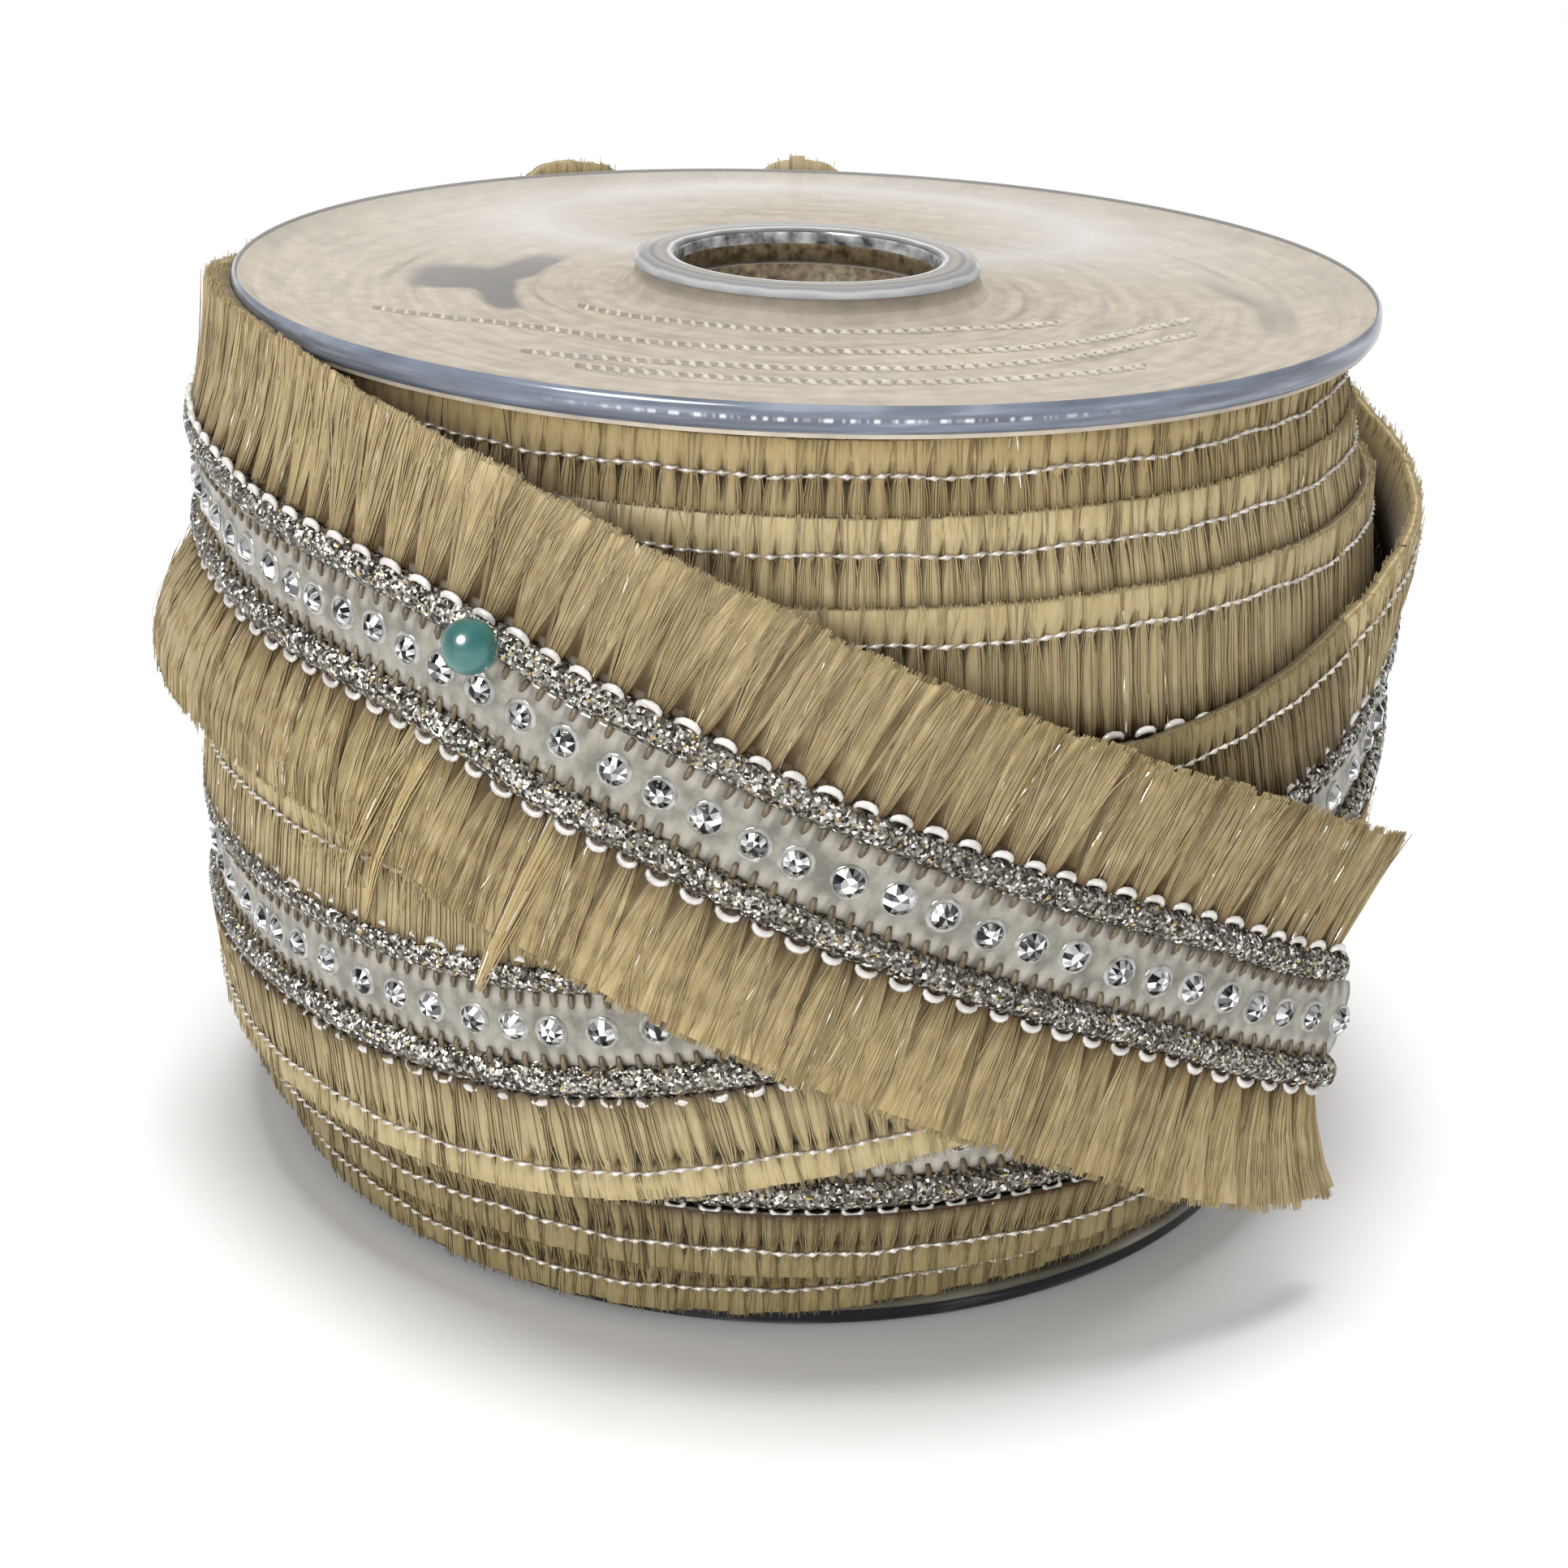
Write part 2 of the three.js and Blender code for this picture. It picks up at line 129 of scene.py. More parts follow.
# Steps of the strip, the ground and the cords' surfaces, and spacing of the metallic threads
STRIP_STEP = 0.9
GROUND_STEP = 0.8
WOUND_FACET = 0.56
LAST_FACET = 0.50
LOOSE_FACET = 0.40
WOUND_THREADS = 26.0
LOOSE_THREADS = 7.0

# Sides and steps of round things
FLANGE_SIDES = 180
HUB_SIDES = 96
ROLL_SIDES = 192
PIN_SIDES = 36
FLOOR_SIDES = 64
STONE_GIRDLE = 16
CUP_SIDES = 12
CORD_CORNERS = 10
THREAD_STEPS = 15
CORNER_STEPS = 5
HUB_RINGS = 9
ROLL_RINGS = 60

# Columns of the courses, of the fringe tips and of the tuft forms
HEIGHT, SEAT = 1, 2
TIP_HEIGHT, TIP_SHIFT, TIP_REACH, TIP_BACK = 1, 2, 3, 4
HALF_WIDTH, THICKNESS, GAP_DEPTH, GAP_SHADE = 1, 2, 3, 4

# Course of the last wound turn and the loose end: angle, height of the middle, radius of the back
LAST_TURN = (
    (-152, 20.5, 51.4), (-132, 22.0, 52.0), (-110, 25.6, 52.7), (-90, 27.7, 53.0), (-63, 28.0, 53.2),
    (-24, 28.6, 53.0), (-12, 30.4, 53.0), (0, 33.0, 53.0), (14, 35.6, 53.0), (41, 38.4, 53.0),
    (58, 42.0, 53.0), (90, 50.0, 53.0), (135, 58.6, 52.8), (185, 62.0, 52.7), (220, 62.5, 52.7),
    (275, 62.2, 52.7), (294, 61.6, 52.7), (306, 60.4, 52.7), (322, 58.9, 52.7), (333, 56.6, 53.1),
    (341, 54.0, 54.0), (349, 51.4, 54.7), (356, 48.5, 55.2), (363, 45.7, 55.6), (378, 39.5, 55.9),
    (393, 33.2, 56.8), (401, 29.2, 57.6), (420, 21.4, 60.7),
)
LAST_TURN_START = -151.0
LOOSE_START = 275.0
CUT_ANGLE = 409.1
CUT_SLANT = 0.29
LOWER_FRINGE_SHORT = 1.4

# Courses of the turns under it, which lie nearly level: angle, height, radius
HIGH_TURN = (
    (-180, 47.4, 50.4), (-94, 47.3, 50.4), (-74, 46.4, 48.4), (-50, 47.2, 50.4), (-20, 47.2, 50.4),
    (0, 47.2, 50.4), (35, 47.5, 50.4), (180, 47.4, 50.4),
)
LOW_TURN = ((-180, 20.5, 51.4), (-90, 20.4, 51.4), (0, 20.2, 51.4), (25, 20.4, 51.4), (180, 20.5, 51.4))
UNDER_TOP = ((-90, 57.6, 46.6), (0, 57.0, 46.6), (60, 57.5, 46.6), (180, 57.4, 46.6))
UNDER_SECOND = ((-40, 54.2, 48.0), (0, 54.0, 48.0), (50, 54.3, 48.0), (140, 54.2, 48.0))
UNDER_FOOT = ((-180, 19.6, 50.6), (-45, 20.2, 50.6), (0, 19.6, 50.6), (60, 19.6, 50.6), (180, 19.6, 50.6))

# Fringe tips: angle, height over the ribbon's back, shift along it, reach from its middle, depth behind
LOOSE_UPPER_TIPS = (
    (275, -0.5, 0.4, 16.4, 2.1), (284, -0.8, 0.4, 16.8, 1.8), (291, -1.3, 0.5, 17.1, 1.3),
    (300, -1.6, 0.5, 17.7, 0.9), (308, -1.4, 0.6, 18.2, 0.8), (314, -0.9, 0.6, 18.0, 0.75),
    (322, 0.0, 0.7, 17.5, 0.75), (340, 0.1, 0.8, 17.0, 0.75), (356, 0.1, 0.9, 16.9, 0.75),
    (380, 0.8, 1.0, 16.7, 0.75), (400, 1.4, 2.4, 16.8, 0.75), (408, 1.8, 4.0, 16.5, 0.75),
)
LOOSE_LOWER_TIPS = (
    (272, 1.2, 0.0, 15.6, 0.75), (277, 4.0, -0.4, 16.4, 0.9), (281, 5.2, -0.6, 16.6, 0.9),
    (292, 5.4, -0.4, 16.7, 0.9), (312, 3.8, -0.2, 16.8, 0.75), (340, 3.2, 0.2, 16.8, 0.75),
    (356, 2.3, 0.5, 16.8, 0.75), (380, 1.7, 0.7, 16.8, 0.75), (400, 1.8, 2.2, 17.0, 0.75),
    (407, 1.9, 4.6, 16.3, 0.75), (411, 1.9, 5.8, 14.4, 0.75),
)
FREE_TIPS = (
    (59, 0.8, 0.1, 16.6, 0.75), (66, 1.5, 0.5, 16.7, 0.75), (76, 2.1, 0.6, 16.6, 0.75),
    (90, 1.9, 0.5, 14.6, 0.75), (105, 1.6, 0.3, 13.5, 0.75), (150, 0.6, 0.0, 14.6, 0.75),
    (173, 0.5, 0.0, 15.3, 0.75), (178, 0.6, 0.0, 18.2, 1.2), (184, 0.6, 0.0, 18.2, 1.2),
    (189, 0.5, 0.0, 15.1, 0.75), (200, 0.5, 0.1, 15.1, 0.75), (205, 0.6, 0.2, 17.6, 1.2),
    (211, 0.6, 0.2, 17.6, 1.2), (217, 0.3, 0.3, 15.1, 1.0), (250, -0.3, 0.3, 15.0, 1.8),
    (275, -0.5, 0.4, 16.2, 2.1),
)
LAST_UPPER_TIPS = (
    (-152, 1.2, 0.0, 16.5, 0.75), (-125, 0.8, 0.0, 16.3, 0.75), (-78, 0.7, 0.0, 14.5, 0.75),
    (420, 0.7, 0.0, 14.5, 0.75),
)
LAST_LOWER_TIPS = (
    (-152, 0.4, 0.0, 13.2, 0.75), (-105, 0.7, 0.0, 15.3, 0.75), (420, 0.7, 0.0, 15.3, 0.75),
)
FOOT_TIPS = (
    (-180, -2.4, 0.0, 17.0, 0.75), (-85, -1.8, 0.0, 18.8, 0.75), (-30, -1.6, 0.0, 19.4, 0.75),
    (-4, -1.7, 0.0, 18.4, 0.75), (14, -2.3, 0.0, 17.4, 0.75), (32, -2.8, 0.0, 17.2, 0.75),
    (180, -2.6, 0.0, 17.0, 0.75),
)

# Locks that hang past the lower loose fringe: angle, length past its tips, shift along the ribbon
HANGING_LOCKS = ((329.0, 4.4, -2.6), (331.0, 6.4, -1.8), (343.4, 5.0, -0.9))

# Form of a tuft: distance from its tip, half width in pitches, thickness, depth and painted shade of the
# gaps
LOOSE_TUFT = (
    (0, 0.60, 0.16, 0.03, 0.46), (3.5, 0.56, 0.44, 0.08, 0.42), (7.4, 0.48, 0.58, 0.22, 0.26),
    (9.8, 0.33, 0.70, 0.52, 0.06), (11.4, 0.26, 0.72, 0.56, 0.0),
)
STITCHED_TUFT = (
    (0, 0.62, 0.28, 0.05, 0.40), (1.5, 0.58, 0.45, 0.10, 0.36), (2.5, 0.48, 0.42, 0.28, 0.16),
    (3.2, 0.36, 0.28, 0.50, 0.0), (3.9, 0.46, 0.42, 0.36, 0.06), (4.9, 0.55, 0.54, 0.20, 0.22),
    (7.6, 0.58, 0.58, 0.15, 0.28), (10.0, 0.46, 0.62, 0.28, 0.08), (11.4, 0.34, 0.62, 0.35, 0.0),
)
STITCH_FROM_TIP = 3.2

# Stations of a tuft as distances from its tip, and columns across one tuft in pitches
ROW_BODY = (7.4, 5.0, 3.7, 3.2, 2.7, 1.4, 0.0)
ROW_YARN = (7.4, 4.5, 3.2, 0.0)
LONG_BODY = (12.8, 9.4, 6.6, 4.6, 3.7, 3.2, 2.7, 1.4, 0.0)
LONG_YARN = (12.8, 7.4, 4.4, 3.2, 0.0)
LOOSE_BODY = (11.2, 10.3, 9.0, 7.0, 4.6, 2.2, 0.0)
LOOSE_YARN = (11.2, 9.4, 6.4, 3.0, 0.0)
ROW_COLUMNS = (-0.49, -0.38, -0.15, 0.15, 0.38, 0.49)
LOOSE_COLUMNS = (-0.49, -0.4, -0.26, -0.09, 0.09, 0.26, 0.4, 0.49)

# Form of the wound rows under the tufts: height and radius
ROLL_PROFILE = (
    (2.5, 46.6), (4.2, 47.6), (6.6, 49.2), (14.0, 51.2), (26.6, 52.0), (38.0, 51.5), (54.0, 50.7),
    (62.0, 49.4), (64.6, 48.2), (71.0, 46.5), (76.25, 46.2), (76.55, 49.3),
)

# Top of the roll: gaps (angle, radius, half widths, depth, which also sets their painted shade) and stitch
# rows (angle, radius)
TURN_THICKNESS = 2.6
TOP_GAPS = (
    (-93, 30.8, 9.5, 5.0, 1.0), (-107, 26.6, 12, 2.1, 1.0), (-78, 27.4, 12, 1.6, 1.0),
    (84, 41.2, 13, 2.2, 0.45), (100, 38.8, 9, 1.8, 0.45),
)
TOP_STITCH_PITCH = 1.15
TOP_STITCHES = (
    ((-63, 21.9), (-45, 19.6), (-28, 17.9), (-1, 17.0), (24, 17.6), (44, 19.5), (65, 24.3)),
    ((-70, 38.8), (-53, 30.0), (-31, 26.1), (-5, 23.9), (13, 24.2), (31, 25.8), (65, 30.6), (79, 34.3)),
    ((-40, 35.2), (-19, 31.0), (6, 29.7), (25, 30.3), (56, 32.7), (70, 35.5)),
    ((-30, 36.0), (-10, 34.2), (10, 34.0), (30, 35.0), (48, 37.0)),
)

# Pin
PIN_ANGLE = 334.0
PIN_ACROSS = 5.1
PIN_RADIUS = 2.1
PIN_REST = 2.5


def column(rows, index, angle):
    """Reads a column of a table at each angle, easing from row to row."""
    table = np.array(rows, float)
    x = table[:, 0]
    y = table[:, index]
    last = len(x) - 1
    before = np.maximum(np.arange(last + 1) - 1, 0)
    after = np.minimum(np.arange(last + 1) + 1, last)
    slope = (y[after] - y[before]) / (x[after] - x[before])
    row = np.clip(np.searchsorted(x, angle) - 1, 0, last - 1)
    span = x[row + 1] - x[row]
    t = np.clip((angle - x[row]) / span, 0, 1)
    start = (2 * t**3 - 3 * t**2 + 1) * y[row] + (t**3 - 2 * t**2 + t) * span * slope[row]
    end = (3 * t**2 - 2 * t**3) * y[row + 1] + (t**3 - t**2) * span * slope[row + 1]
    return start + end


def pitch_at(course, angle):
    """How steeply the ribbon climbs, in radians."""
    climb = column(course, HEIGHT, angle + 0.5) - column(course, HEIGHT, angle - 0.5)
    return np.arctan2(climb, math.radians(1) * column(course, SEAT, angle))


def around(count):
    """Angles once round, in radians."""
    return np.arange(count) * 2 * math.pi / count


def round_spool(radius, turn, z):
    """Points at a radius, a turn in radians and a height round the spool's axis."""
    return np.stack(np.broadcast_arrays(radius * np.sin(turn), -radius * np.cos(turn), z), axis=-1)


def walked_along(line):
    """The length walked up to each point of a line."""
    return np.concatenate([[0.0], np.cumsum(np.linalg.norm(np.diff(line, axis=0), axis=1))])


def place(course, angle, across, above):
    """Points on a ribbon: winding angle of its middle, distance across it, height above its back."""
    angle, across, above = np.broadcast_arrays(np.asarray(angle, float), across, above)
    seat = column(course, SEAT, angle)
    height = column(course, HEIGHT, angle)
    pitch = pitch_at(course, angle)
    turn = np.radians(angle) - across * np.sin(pitch) / seat
    return round_spool(seat + above, turn, height + across * np.cos(pitch))


def walk(course, angle, length):
    """The angles reached by going a length along the ribbon."""
    radius = column(course, SEAT, angle) + 1.0
    return angle + np.degrees(length * np.cos(pitch_at(course, angle)) / radius)


def steps(course, start, stop, spacing):
    """Evenly spaced angles along a course, about a spacing in millimetres apart, ends included."""
    fine = np.linspace(start, stop, 400)
    walked = walked_along(place(course, fine, 0.0, 1.0))
    count = max(1, int(round(walked[-1] / spacing)))
    return np.interp(np.linspace(0, walked[-1], count + 1), walked, fine)


def middles(edges):
    """The middle between each edge and the next."""
    return (edges[1:] + edges[:-1]) / 2


def cut_at(across):
    """Angle of the slanting cut at a distance across the loose end."""
    return CUT_ANGLE - CUT_SLANT * across


class Shape:
    """Points, faces and values of one piece before it becomes a mesh."""

    def __init__(self):
        self.points = []
        self.faces = []
        self.facets = []
        self.materials = []
        self.values = {"lie": [], "part": [], "tone": []}
        self.size = 0

    def add(self, points, faces, lie=0.0, part=0.5, tone=0.5, facets=None, material=0):
        """Takes in points in a grid and their faces. Lie, part and tone fit the grid; the tone value holds
        random tone and painted shade.
        """
        grid = np.shape(points)[:-1]
        for group in faces:
            self.faces += (np.asarray(group) + self.size).tolist()
            self.materials += [material] * len(group)
        for name, value in (("lie", lie), ("part", part), ("tone", tone)):
            self.values[name].append(np.broadcast_to(value, grid).reshape(-1))
        if facets is not None:
            self.facets.append(np.reshape(facets, -1))
        self.points.append(np.reshape(points, (-1, 3)))
        self.size += len(self.points[-1])


def make_piece(name, shape, materials, replaces=(), smooth=True):
    """Turns a shape into an object that rides on the roll."""
    points = np.concatenate(shape.points) * MM + AXIS
    mesh = bpy.data.meshes.new(name)
    mesh.from_pydata(points.tolist(), [], shape.faces)
    for value, parts in shape.values.items():
        attribute = mesh.attributes.new(value, "FLOAT", "POINT")
        attribute.data.foreach_set("value", np.concatenate(parts).astype(np.float32))
    if shape.facets:
        attribute = mesh.attributes.new("facet", "FLOAT", "FACE")
        attribute.data.foreach_set("value", np.concatenate(shape.facets).astype(np.float32))
    for material in materials:
        mesh.materials.append(material)
    mesh.polygons.foreach_set("material_index", np.array(shape.materials, np.int32))
    mesh.polygons.foreach_set("use_smooth", np.full(len(shape.faces), smooth))
    mesh.update()
    piece = bpy.data.objects.new(name, mesh)
    bpy.context.scene.collection.objects.link(piece)
    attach(piece, "root")
    if replaces:
        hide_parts(*replaces)
    return piece


def tube_faces(count, rings, sides):
    """Faces of tubes that are closed at both ends."""
    index = np.arange(count * rings * sides).reshape(count, rings, sides)
    turned = np.roll(index, -1, axis=2)
    wall = np.stack([index[:, :-1], index[:, 1:], turned[:, 1:], turned[:, :-1]], axis=-1)
    return [wall.reshape(-1, 4), index[:, 0], index[:, -1, ::-1]]


def directions(paths):
    """Unit vectors to the side of each path and out of the spool across it."""
    along = np.gradient(paths, axis=1)
    along /= np.linalg.norm(along, axis=-1, keepdims=True)
    outward = paths * np.array([1.0, 1.0, 0.0])
    outward /= np.linalg.norm(outward, axis=-1, keepdims=True)
    side = np.cross(along, outward)
    side /= np.linalg.norm(side, axis=-1, keepdims=True)
    return side, np.cross(side, along)


def tubes(paths, radius, sides, flat=1.0, twist=0.0):
    """Tubes round paths. A flat below 1 makes strips, which a twist winds by radians along the path."""
    side, up = directions(paths)
    radius = np.broadcast_to(radius, paths.shape[:2])[:, :, None, None]
    turn = around(sides) + math.pi / 2
    wide = np.cos(turn)
    thick = np.sin(turn) * flat
    spin = np.broadcast_to(twist, paths.shape[:2])[:, :, None]
    x = wide * np.cos(spin) - thick * np.sin(spin)
    y = wide * np.sin(spin) + thick * np.cos(spin)
    rings = x[..., None] * side[:, :, None] + y[..., None] * up[:, :, None]
    points = paths[:, :, None] + radius * rings
    return points, tube_faces(paths.shape[0], paths.shape[1], sides)


def lathe(profile, segments):
    """Turns a closed outline of radius and height round the spool's axis."""
    outline = np.array(profile, float)
    ahead = np.roll(outline, -1, axis=0)
    if np.sum(outline[:, 0] * ahead[:, 1] - ahead[:, 0] * outline[:, 1]) < 0:
        outline = outline[::-1]
    points = round_spool(outline[:, 0], around(segments)[:, None], outline[:, 1])
    index = np.arange(segments * len(outline)).reshape(segments, len(outline))
    right = np.roll(index, -1, axis=0)
    up = np.roll(index, -1, axis=1)
    faces = np.stack([index, right, np.roll(right, -1, axis=1), up], axis=-1).reshape(-1, 4)
    return points, [faces]


def sweep_faces(rings, corners):
    """Faces of a section swept along a course and closed at both ends."""
    index = np.arange(rings * corners).reshape(rings, corners)
    turned = np.roll(index, -1, axis=1)
    wall = np.stack([index[:-1], turned[:-1], turned[1:], index[1:]], axis=-1).reshape(-1, 4)
    return [wall, index[:1, ::-1], index[-1:]]


def rounded(corner_radius, corner_z, start, turn, radius):
    """Points of a rounded corner of an outline, from a start angle through a turn, in degrees."""
    angle = np.radians(start + turn * np.arange(CORNER_STEPS) / (CORNER_STEPS - 1))
    return list(zip(corner_radius + radius * np.cos(angle), corner_z + radius * np.sin(angle)))


def fringe(shape, course, start, stop, side, tips, style):
    """Tufts of yarn along one edge of a ribbon: a corrugated body and the single yarns over it."""
    edges = steps(course, start, stop, style.pitch)
    middle = middles(edges)
    step = np.diff(edges)
    lean = chance.uniform(-0.13, 0.13, len(middle))
    shorter = chance.uniform(0.0, style.uneven, len(middle))
    add_tuft_body(shape, course, middle, step, lean, shorter, side, tips, style)
    add_yarns(shape, course, middle, step, lean, shorter, side, tips, style)


def tuft_height(tips, angle, part, style):
    """Height of a tuft's foot above the ribbon's back, from its root to its tip."""
    tip = column(tips, TIP_HEIGHT, angle)
    return style.root_height + (tip - style.root_height) * part * (2 - part)


def tuft_part(style, reach, from_tip):
    """How far along a tuft a distance from its tip is: 0 at the root, 1 at the tip."""
    return np.clip(1 - from_tip / (reach - style.root), 0, 1)


def reach_at(style, reach, part):
    """Distance from the ribbon's middle at a part of a tuft."""
    return style.root + (reach - style.root) * part


def form_at(style, index, from_tip):
    """Reads a column of a tuft's form at distances from its tip."""
    return np.interp(from_tip, style.form[0], style.form[index])


def add_tuft_body(shape, course, middle, step, lean, shorter, side, tips, style):
    """A strip of touching rounded tufts, closed at the back."""
    columns = np.array(style.columns)
    tuft = np.repeat(np.arange(len(lean)), len(columns))
    place_in = np.tile(columns, len(lean))
    angle = middle[tuft] + step[tuft] * place_in
    from_tip = np.array(style.body_stations)
    wide = form_at(style, HALF_WIDTH, from_tip)
    thick = form_at(style, THICKNESS, from_tip)
    valley = form_at(style, GAP_DEPTH, from_tip)
    reach = (column(tips, TIP_REACH, angle) - shorter[tuft] - style.bare_tip)[:, None]
    part = tuft_part(style, reach, from_tip[None, :])
    off = np.abs(place_in - 0.5 * lean[tuft])[:, None] / (wide * 1.05)
    swell = np.sqrt(np.clip(1 - off**2, 0, 1))
    base = tuft_height(tips, angle[:, None], part, style)
    above = base + 0.8 * thick * swell - valley * (1 - swell)
    across = side * reach_at(style, reach, part)
    shift = column(tips, TIP_SHIFT, angle)[:, None] * part**2
    there = walk(course, angle[:, None], shift)
    top = place(course, there, across, above)
    behind = base - column(tips, TIP_BACK, angle)[:, None]
    back = place(course, there, across, behind)[:, [-1, 0]]
    points = np.concatenate([top, back], axis=1)
    faces = sweep_faces(points.shape[0], points.shape[1])
    if side < 0:
        faces = [group[:, ::-1] for group in faces]
    lie = np.radians(angle)[:, None] * column(course, SEAT, angle)[:, None]
    whole_part = np.concatenate([part, part[:, [-1, 0]]], axis=1)
    # Painted shade: the gaps between tufts darken by the form's last column, the crests are lighter, and
    # the back of the strip is darker towards the root
    shaded_gap = form_at(style, GAP_SHADE, from_tip)
    back_shade = np.broadcast_to([0.45, 0.12 if style.lined else 0.0], (len(angle), 2))
    tone = np.concatenate([shaded_gap + (0.53 - shaded_gap) * swell**0.7, back_shade], axis=1)
    shape.add(points, faces, lie=lie, part=whole_part, tone=tone)


def add_yarns(shape, course, middle, step, lean, shorter, side, tips, style):
    """Single yarns in locks over the tufts, with a few strays."""
    count = len(lean)
    number = style.yarns
    locks = style.locks
    from_tip = np.array(style.yarn_stations)
    wide = form_at(style, HALF_WIDTH, from_tip) * style.pitch
    thick = form_at(style, THICKNESS, from_tip)
    lock = chance.integers(0, locks, (count, number))
    rows = np.arange(count)[:, None]
    lock_sway = chance.normal(0, style.lock_sway, (count, locks))[rows, lock]
    lock_rise = chance.normal(0, 0.10, (count, locks))[rows, lock]
    lock_tone = chance.normal(0, style.lock_tone, (count, locks))[rows, lock]
    lock_wave = chance.normal(0, style.wave, (count, locks))[rows, lock]
    lock_start = chance.uniform(0, 6.3, (count, locks))[rows, lock]
    spot = (lock + 0.5) / locks * 2 - 1 + chance.normal(0, 0.6 / locks, (count, number))
    spot = np.clip(spot, -1, 1)
    depth = 1 - 0.8 * chance.random((count, number)) ** 2
    sway = lock_sway + chance.normal(0, style.sway, (count, number))
    stray = chance.random((count, number)) < style.strays
    sway = np.where(stray, sway + chance.normal(0, 0.9, (count, number)), sway)
    angle = np.broadcast_to((middle + 0.5 * step * lean)[:, None], spot.shape)
    missing = style.ragged * np.abs(chance.normal(0, 1, spot.shape))
    reach = (column(tips, TIP_REACH, angle) - shorter[:, None] - missing)[..., None]
    part = tuft_part(style, reach, from_tip)
    lateral = spot[..., None] * wide + (sway + column(tips, TIP_SHIFT, angle))[..., None] * part**2
    lateral = lateral + lock_wave[..., None] * part * np.sin(5.0 * part + lock_start[..., None])
    swell = depth[..., None] * np.sqrt(np.clip(1 - 0.8 * spot[..., None] ** 2, 0, 1))
    base = tuft_height(tips, angle[..., None], part, style)
    above = base + thick * swell
    above = above + (lock_rise[..., None] + 0.25 * stray[..., None]) * part
    inside = np.maximum(column(tips, TIP_BACK, angle) - TIP_DEPTH, 0) * chance.random((count, number))
    above = above - inside[..., None] * part
    lining = (chance.random((count, number)) < style.lined)[..., None]
    inner = base - column(tips, TIP_BACK, angle)[..., None] - 0.03
    above = np.where(lining, inner, above)
    across = side * reach_at(style, reach, part)
    there = walk(course, angle[..., None], lateral)
    stations = len(from_tip)
    front = np.cos(np.radians(angle.reshape(-1))) > -0.3
    kept = front | (chance.random(count * number) < style.back_share)
    paths = place(course, there, across, above).reshape(-1, stations, 3)[kept]
    taper = np.where(np.arange(stations) == stations - 1, 0.5, 1.0)
    yarns = tubes(paths, style.yarn_radius * taper, 3)
    yarn_tone = chance.normal(0, style.yarn_tone, (count, number))
    # Painted shade: yarns at the sides of a tuft are darker, and lining yarns inside a flap get dark tones
    tone = 0.58 + lock_tone + yarn_tone - style.round_tone * spot**2
    tone = np.where(lining[..., 0], chance.uniform(0.2, 0.48, tone.shape), np.clip(tone, 0.2, 1))
    lock_lie = chance.uniform(0, 400, (count, locks))[rows, lock] + chance.normal(0, 0.05, (count, number))
    lie = lock_lie.reshape(-1, 1, 1)[kept]
    part = part.reshape(-1, stations, 1)[kept]
    tone = tone.reshape(-1, 1, 1)[kept]
    shape.add(*yarns, lie=lie, part=part, tone=tone)


def tuft_style(form, pitch, yarns, body_stations, yarn_stations, **others):
    """Gathers what a fringe needs to know. Stations are distances from the tip, root first."""
    style = dict(
        form=np.array(form, float).T, pitch=pitch, yarns=yarns, root=TUFT_ROOT, columns=ROW_COLUMNS,
        body_stations=body_stations, yarn_stations=yarn_stations, locks=2, lock_sway=0.07, sway=0.06,
        strays=0.02, uneven=0.15, yarn_radius=0.08, bare_tip=0.5, ragged=0.18, wave=0.03, round_tone=0.20,
        lock_tone=0.06, yarn_tone=0.06, back_share=0.3, lined=0.0,
    )
    return SimpleNamespace(**{**style, **others})


def level_tips(height, reach):
    """Tips at one height and reach all the way along a course."""
    return ((-200, height, 0.0, reach, TIP_DEPTH), (420, height, 0.0, reach, TIP_DEPTH))


def chain_stitch(shape, course, start, stop, across, above):
    """Links of pale thread, one after the other along a row of tufts."""
    edges = steps(course, start, stop, CHAIN_PITCH)
    middle = middles(edges)
    along = np.array([-0.52, -0.24, 0.0, 0.24, 0.52]) * CHAIN_PITCH
    angle = walk(course, middle[:, None], along)
    slant = chance.normal(0.10, 0.05, (len(middle), 1))
    off = across(angle) + slant * along
    rise = above(angle) + np.array([-0.10, 0.02, 0.10, 0.02, -0.10])
    radius = np.array([0.08, 0.14, 0.27, 0.14, 0.08])
    shape.add(*tubes(place(course, angle, off, rise), radius, 4, flat=0.9), lie=middle[:, None, None])


def stitch_fringe(shape, course, start, stop, side, tips, style):
    """The chain stitch that holds a wound fringe flat."""
    thick = form_at(style, THICKNESS, STITCH_FROM_TIP)

    def across(angle):
        wave = 0.12 * np.sin(angle * 0.31) + 0.08 * np.sin(angle * 0.83 + 1)
        return side * (column(tips, TIP_REACH, angle) - STITCH_FROM_TIP + wave)

    def above(angle):
        part = tuft_part(style, column(tips, TIP_REACH, angle), STITCH_FROM_TIP)
        return tuft_height(tips, angle, part, style) + thick + 0.12

    chain_stitch(shape, course, start, stop, across, above)


def picots(shape, course, start, stop, side, lift=PICOT_LIFT):
    """Pearly half-round loops along the outer edge of a cord."""
    middle = middles(steps(course, start, stop, PICOT_PITCH))
    sweep = np.linspace(0.0, 1.0, 7) * math.pi
    size = 1 + chance.normal(0, 0.06, (len(middle), 1))
    lateral = -PICOT_HALF * np.cos(sweep) * size
    across = side * (CORD_OUTER - 0.12 + PICOT_REACH * np.sin(sweep) * size)
    above = lift - 0.05 + 0.15 * np.sin(sweep) + chance.normal(0, 0.05, (len(middle), 1))
    angle = walk(course, middle[:, None], lateral)
    radius = 0.16 + 0.17 * np.sin(sweep)
    shape.add(*tubes(place(course, angle, across, above), radius, 5), part=(sweep / math.pi)[:, None])


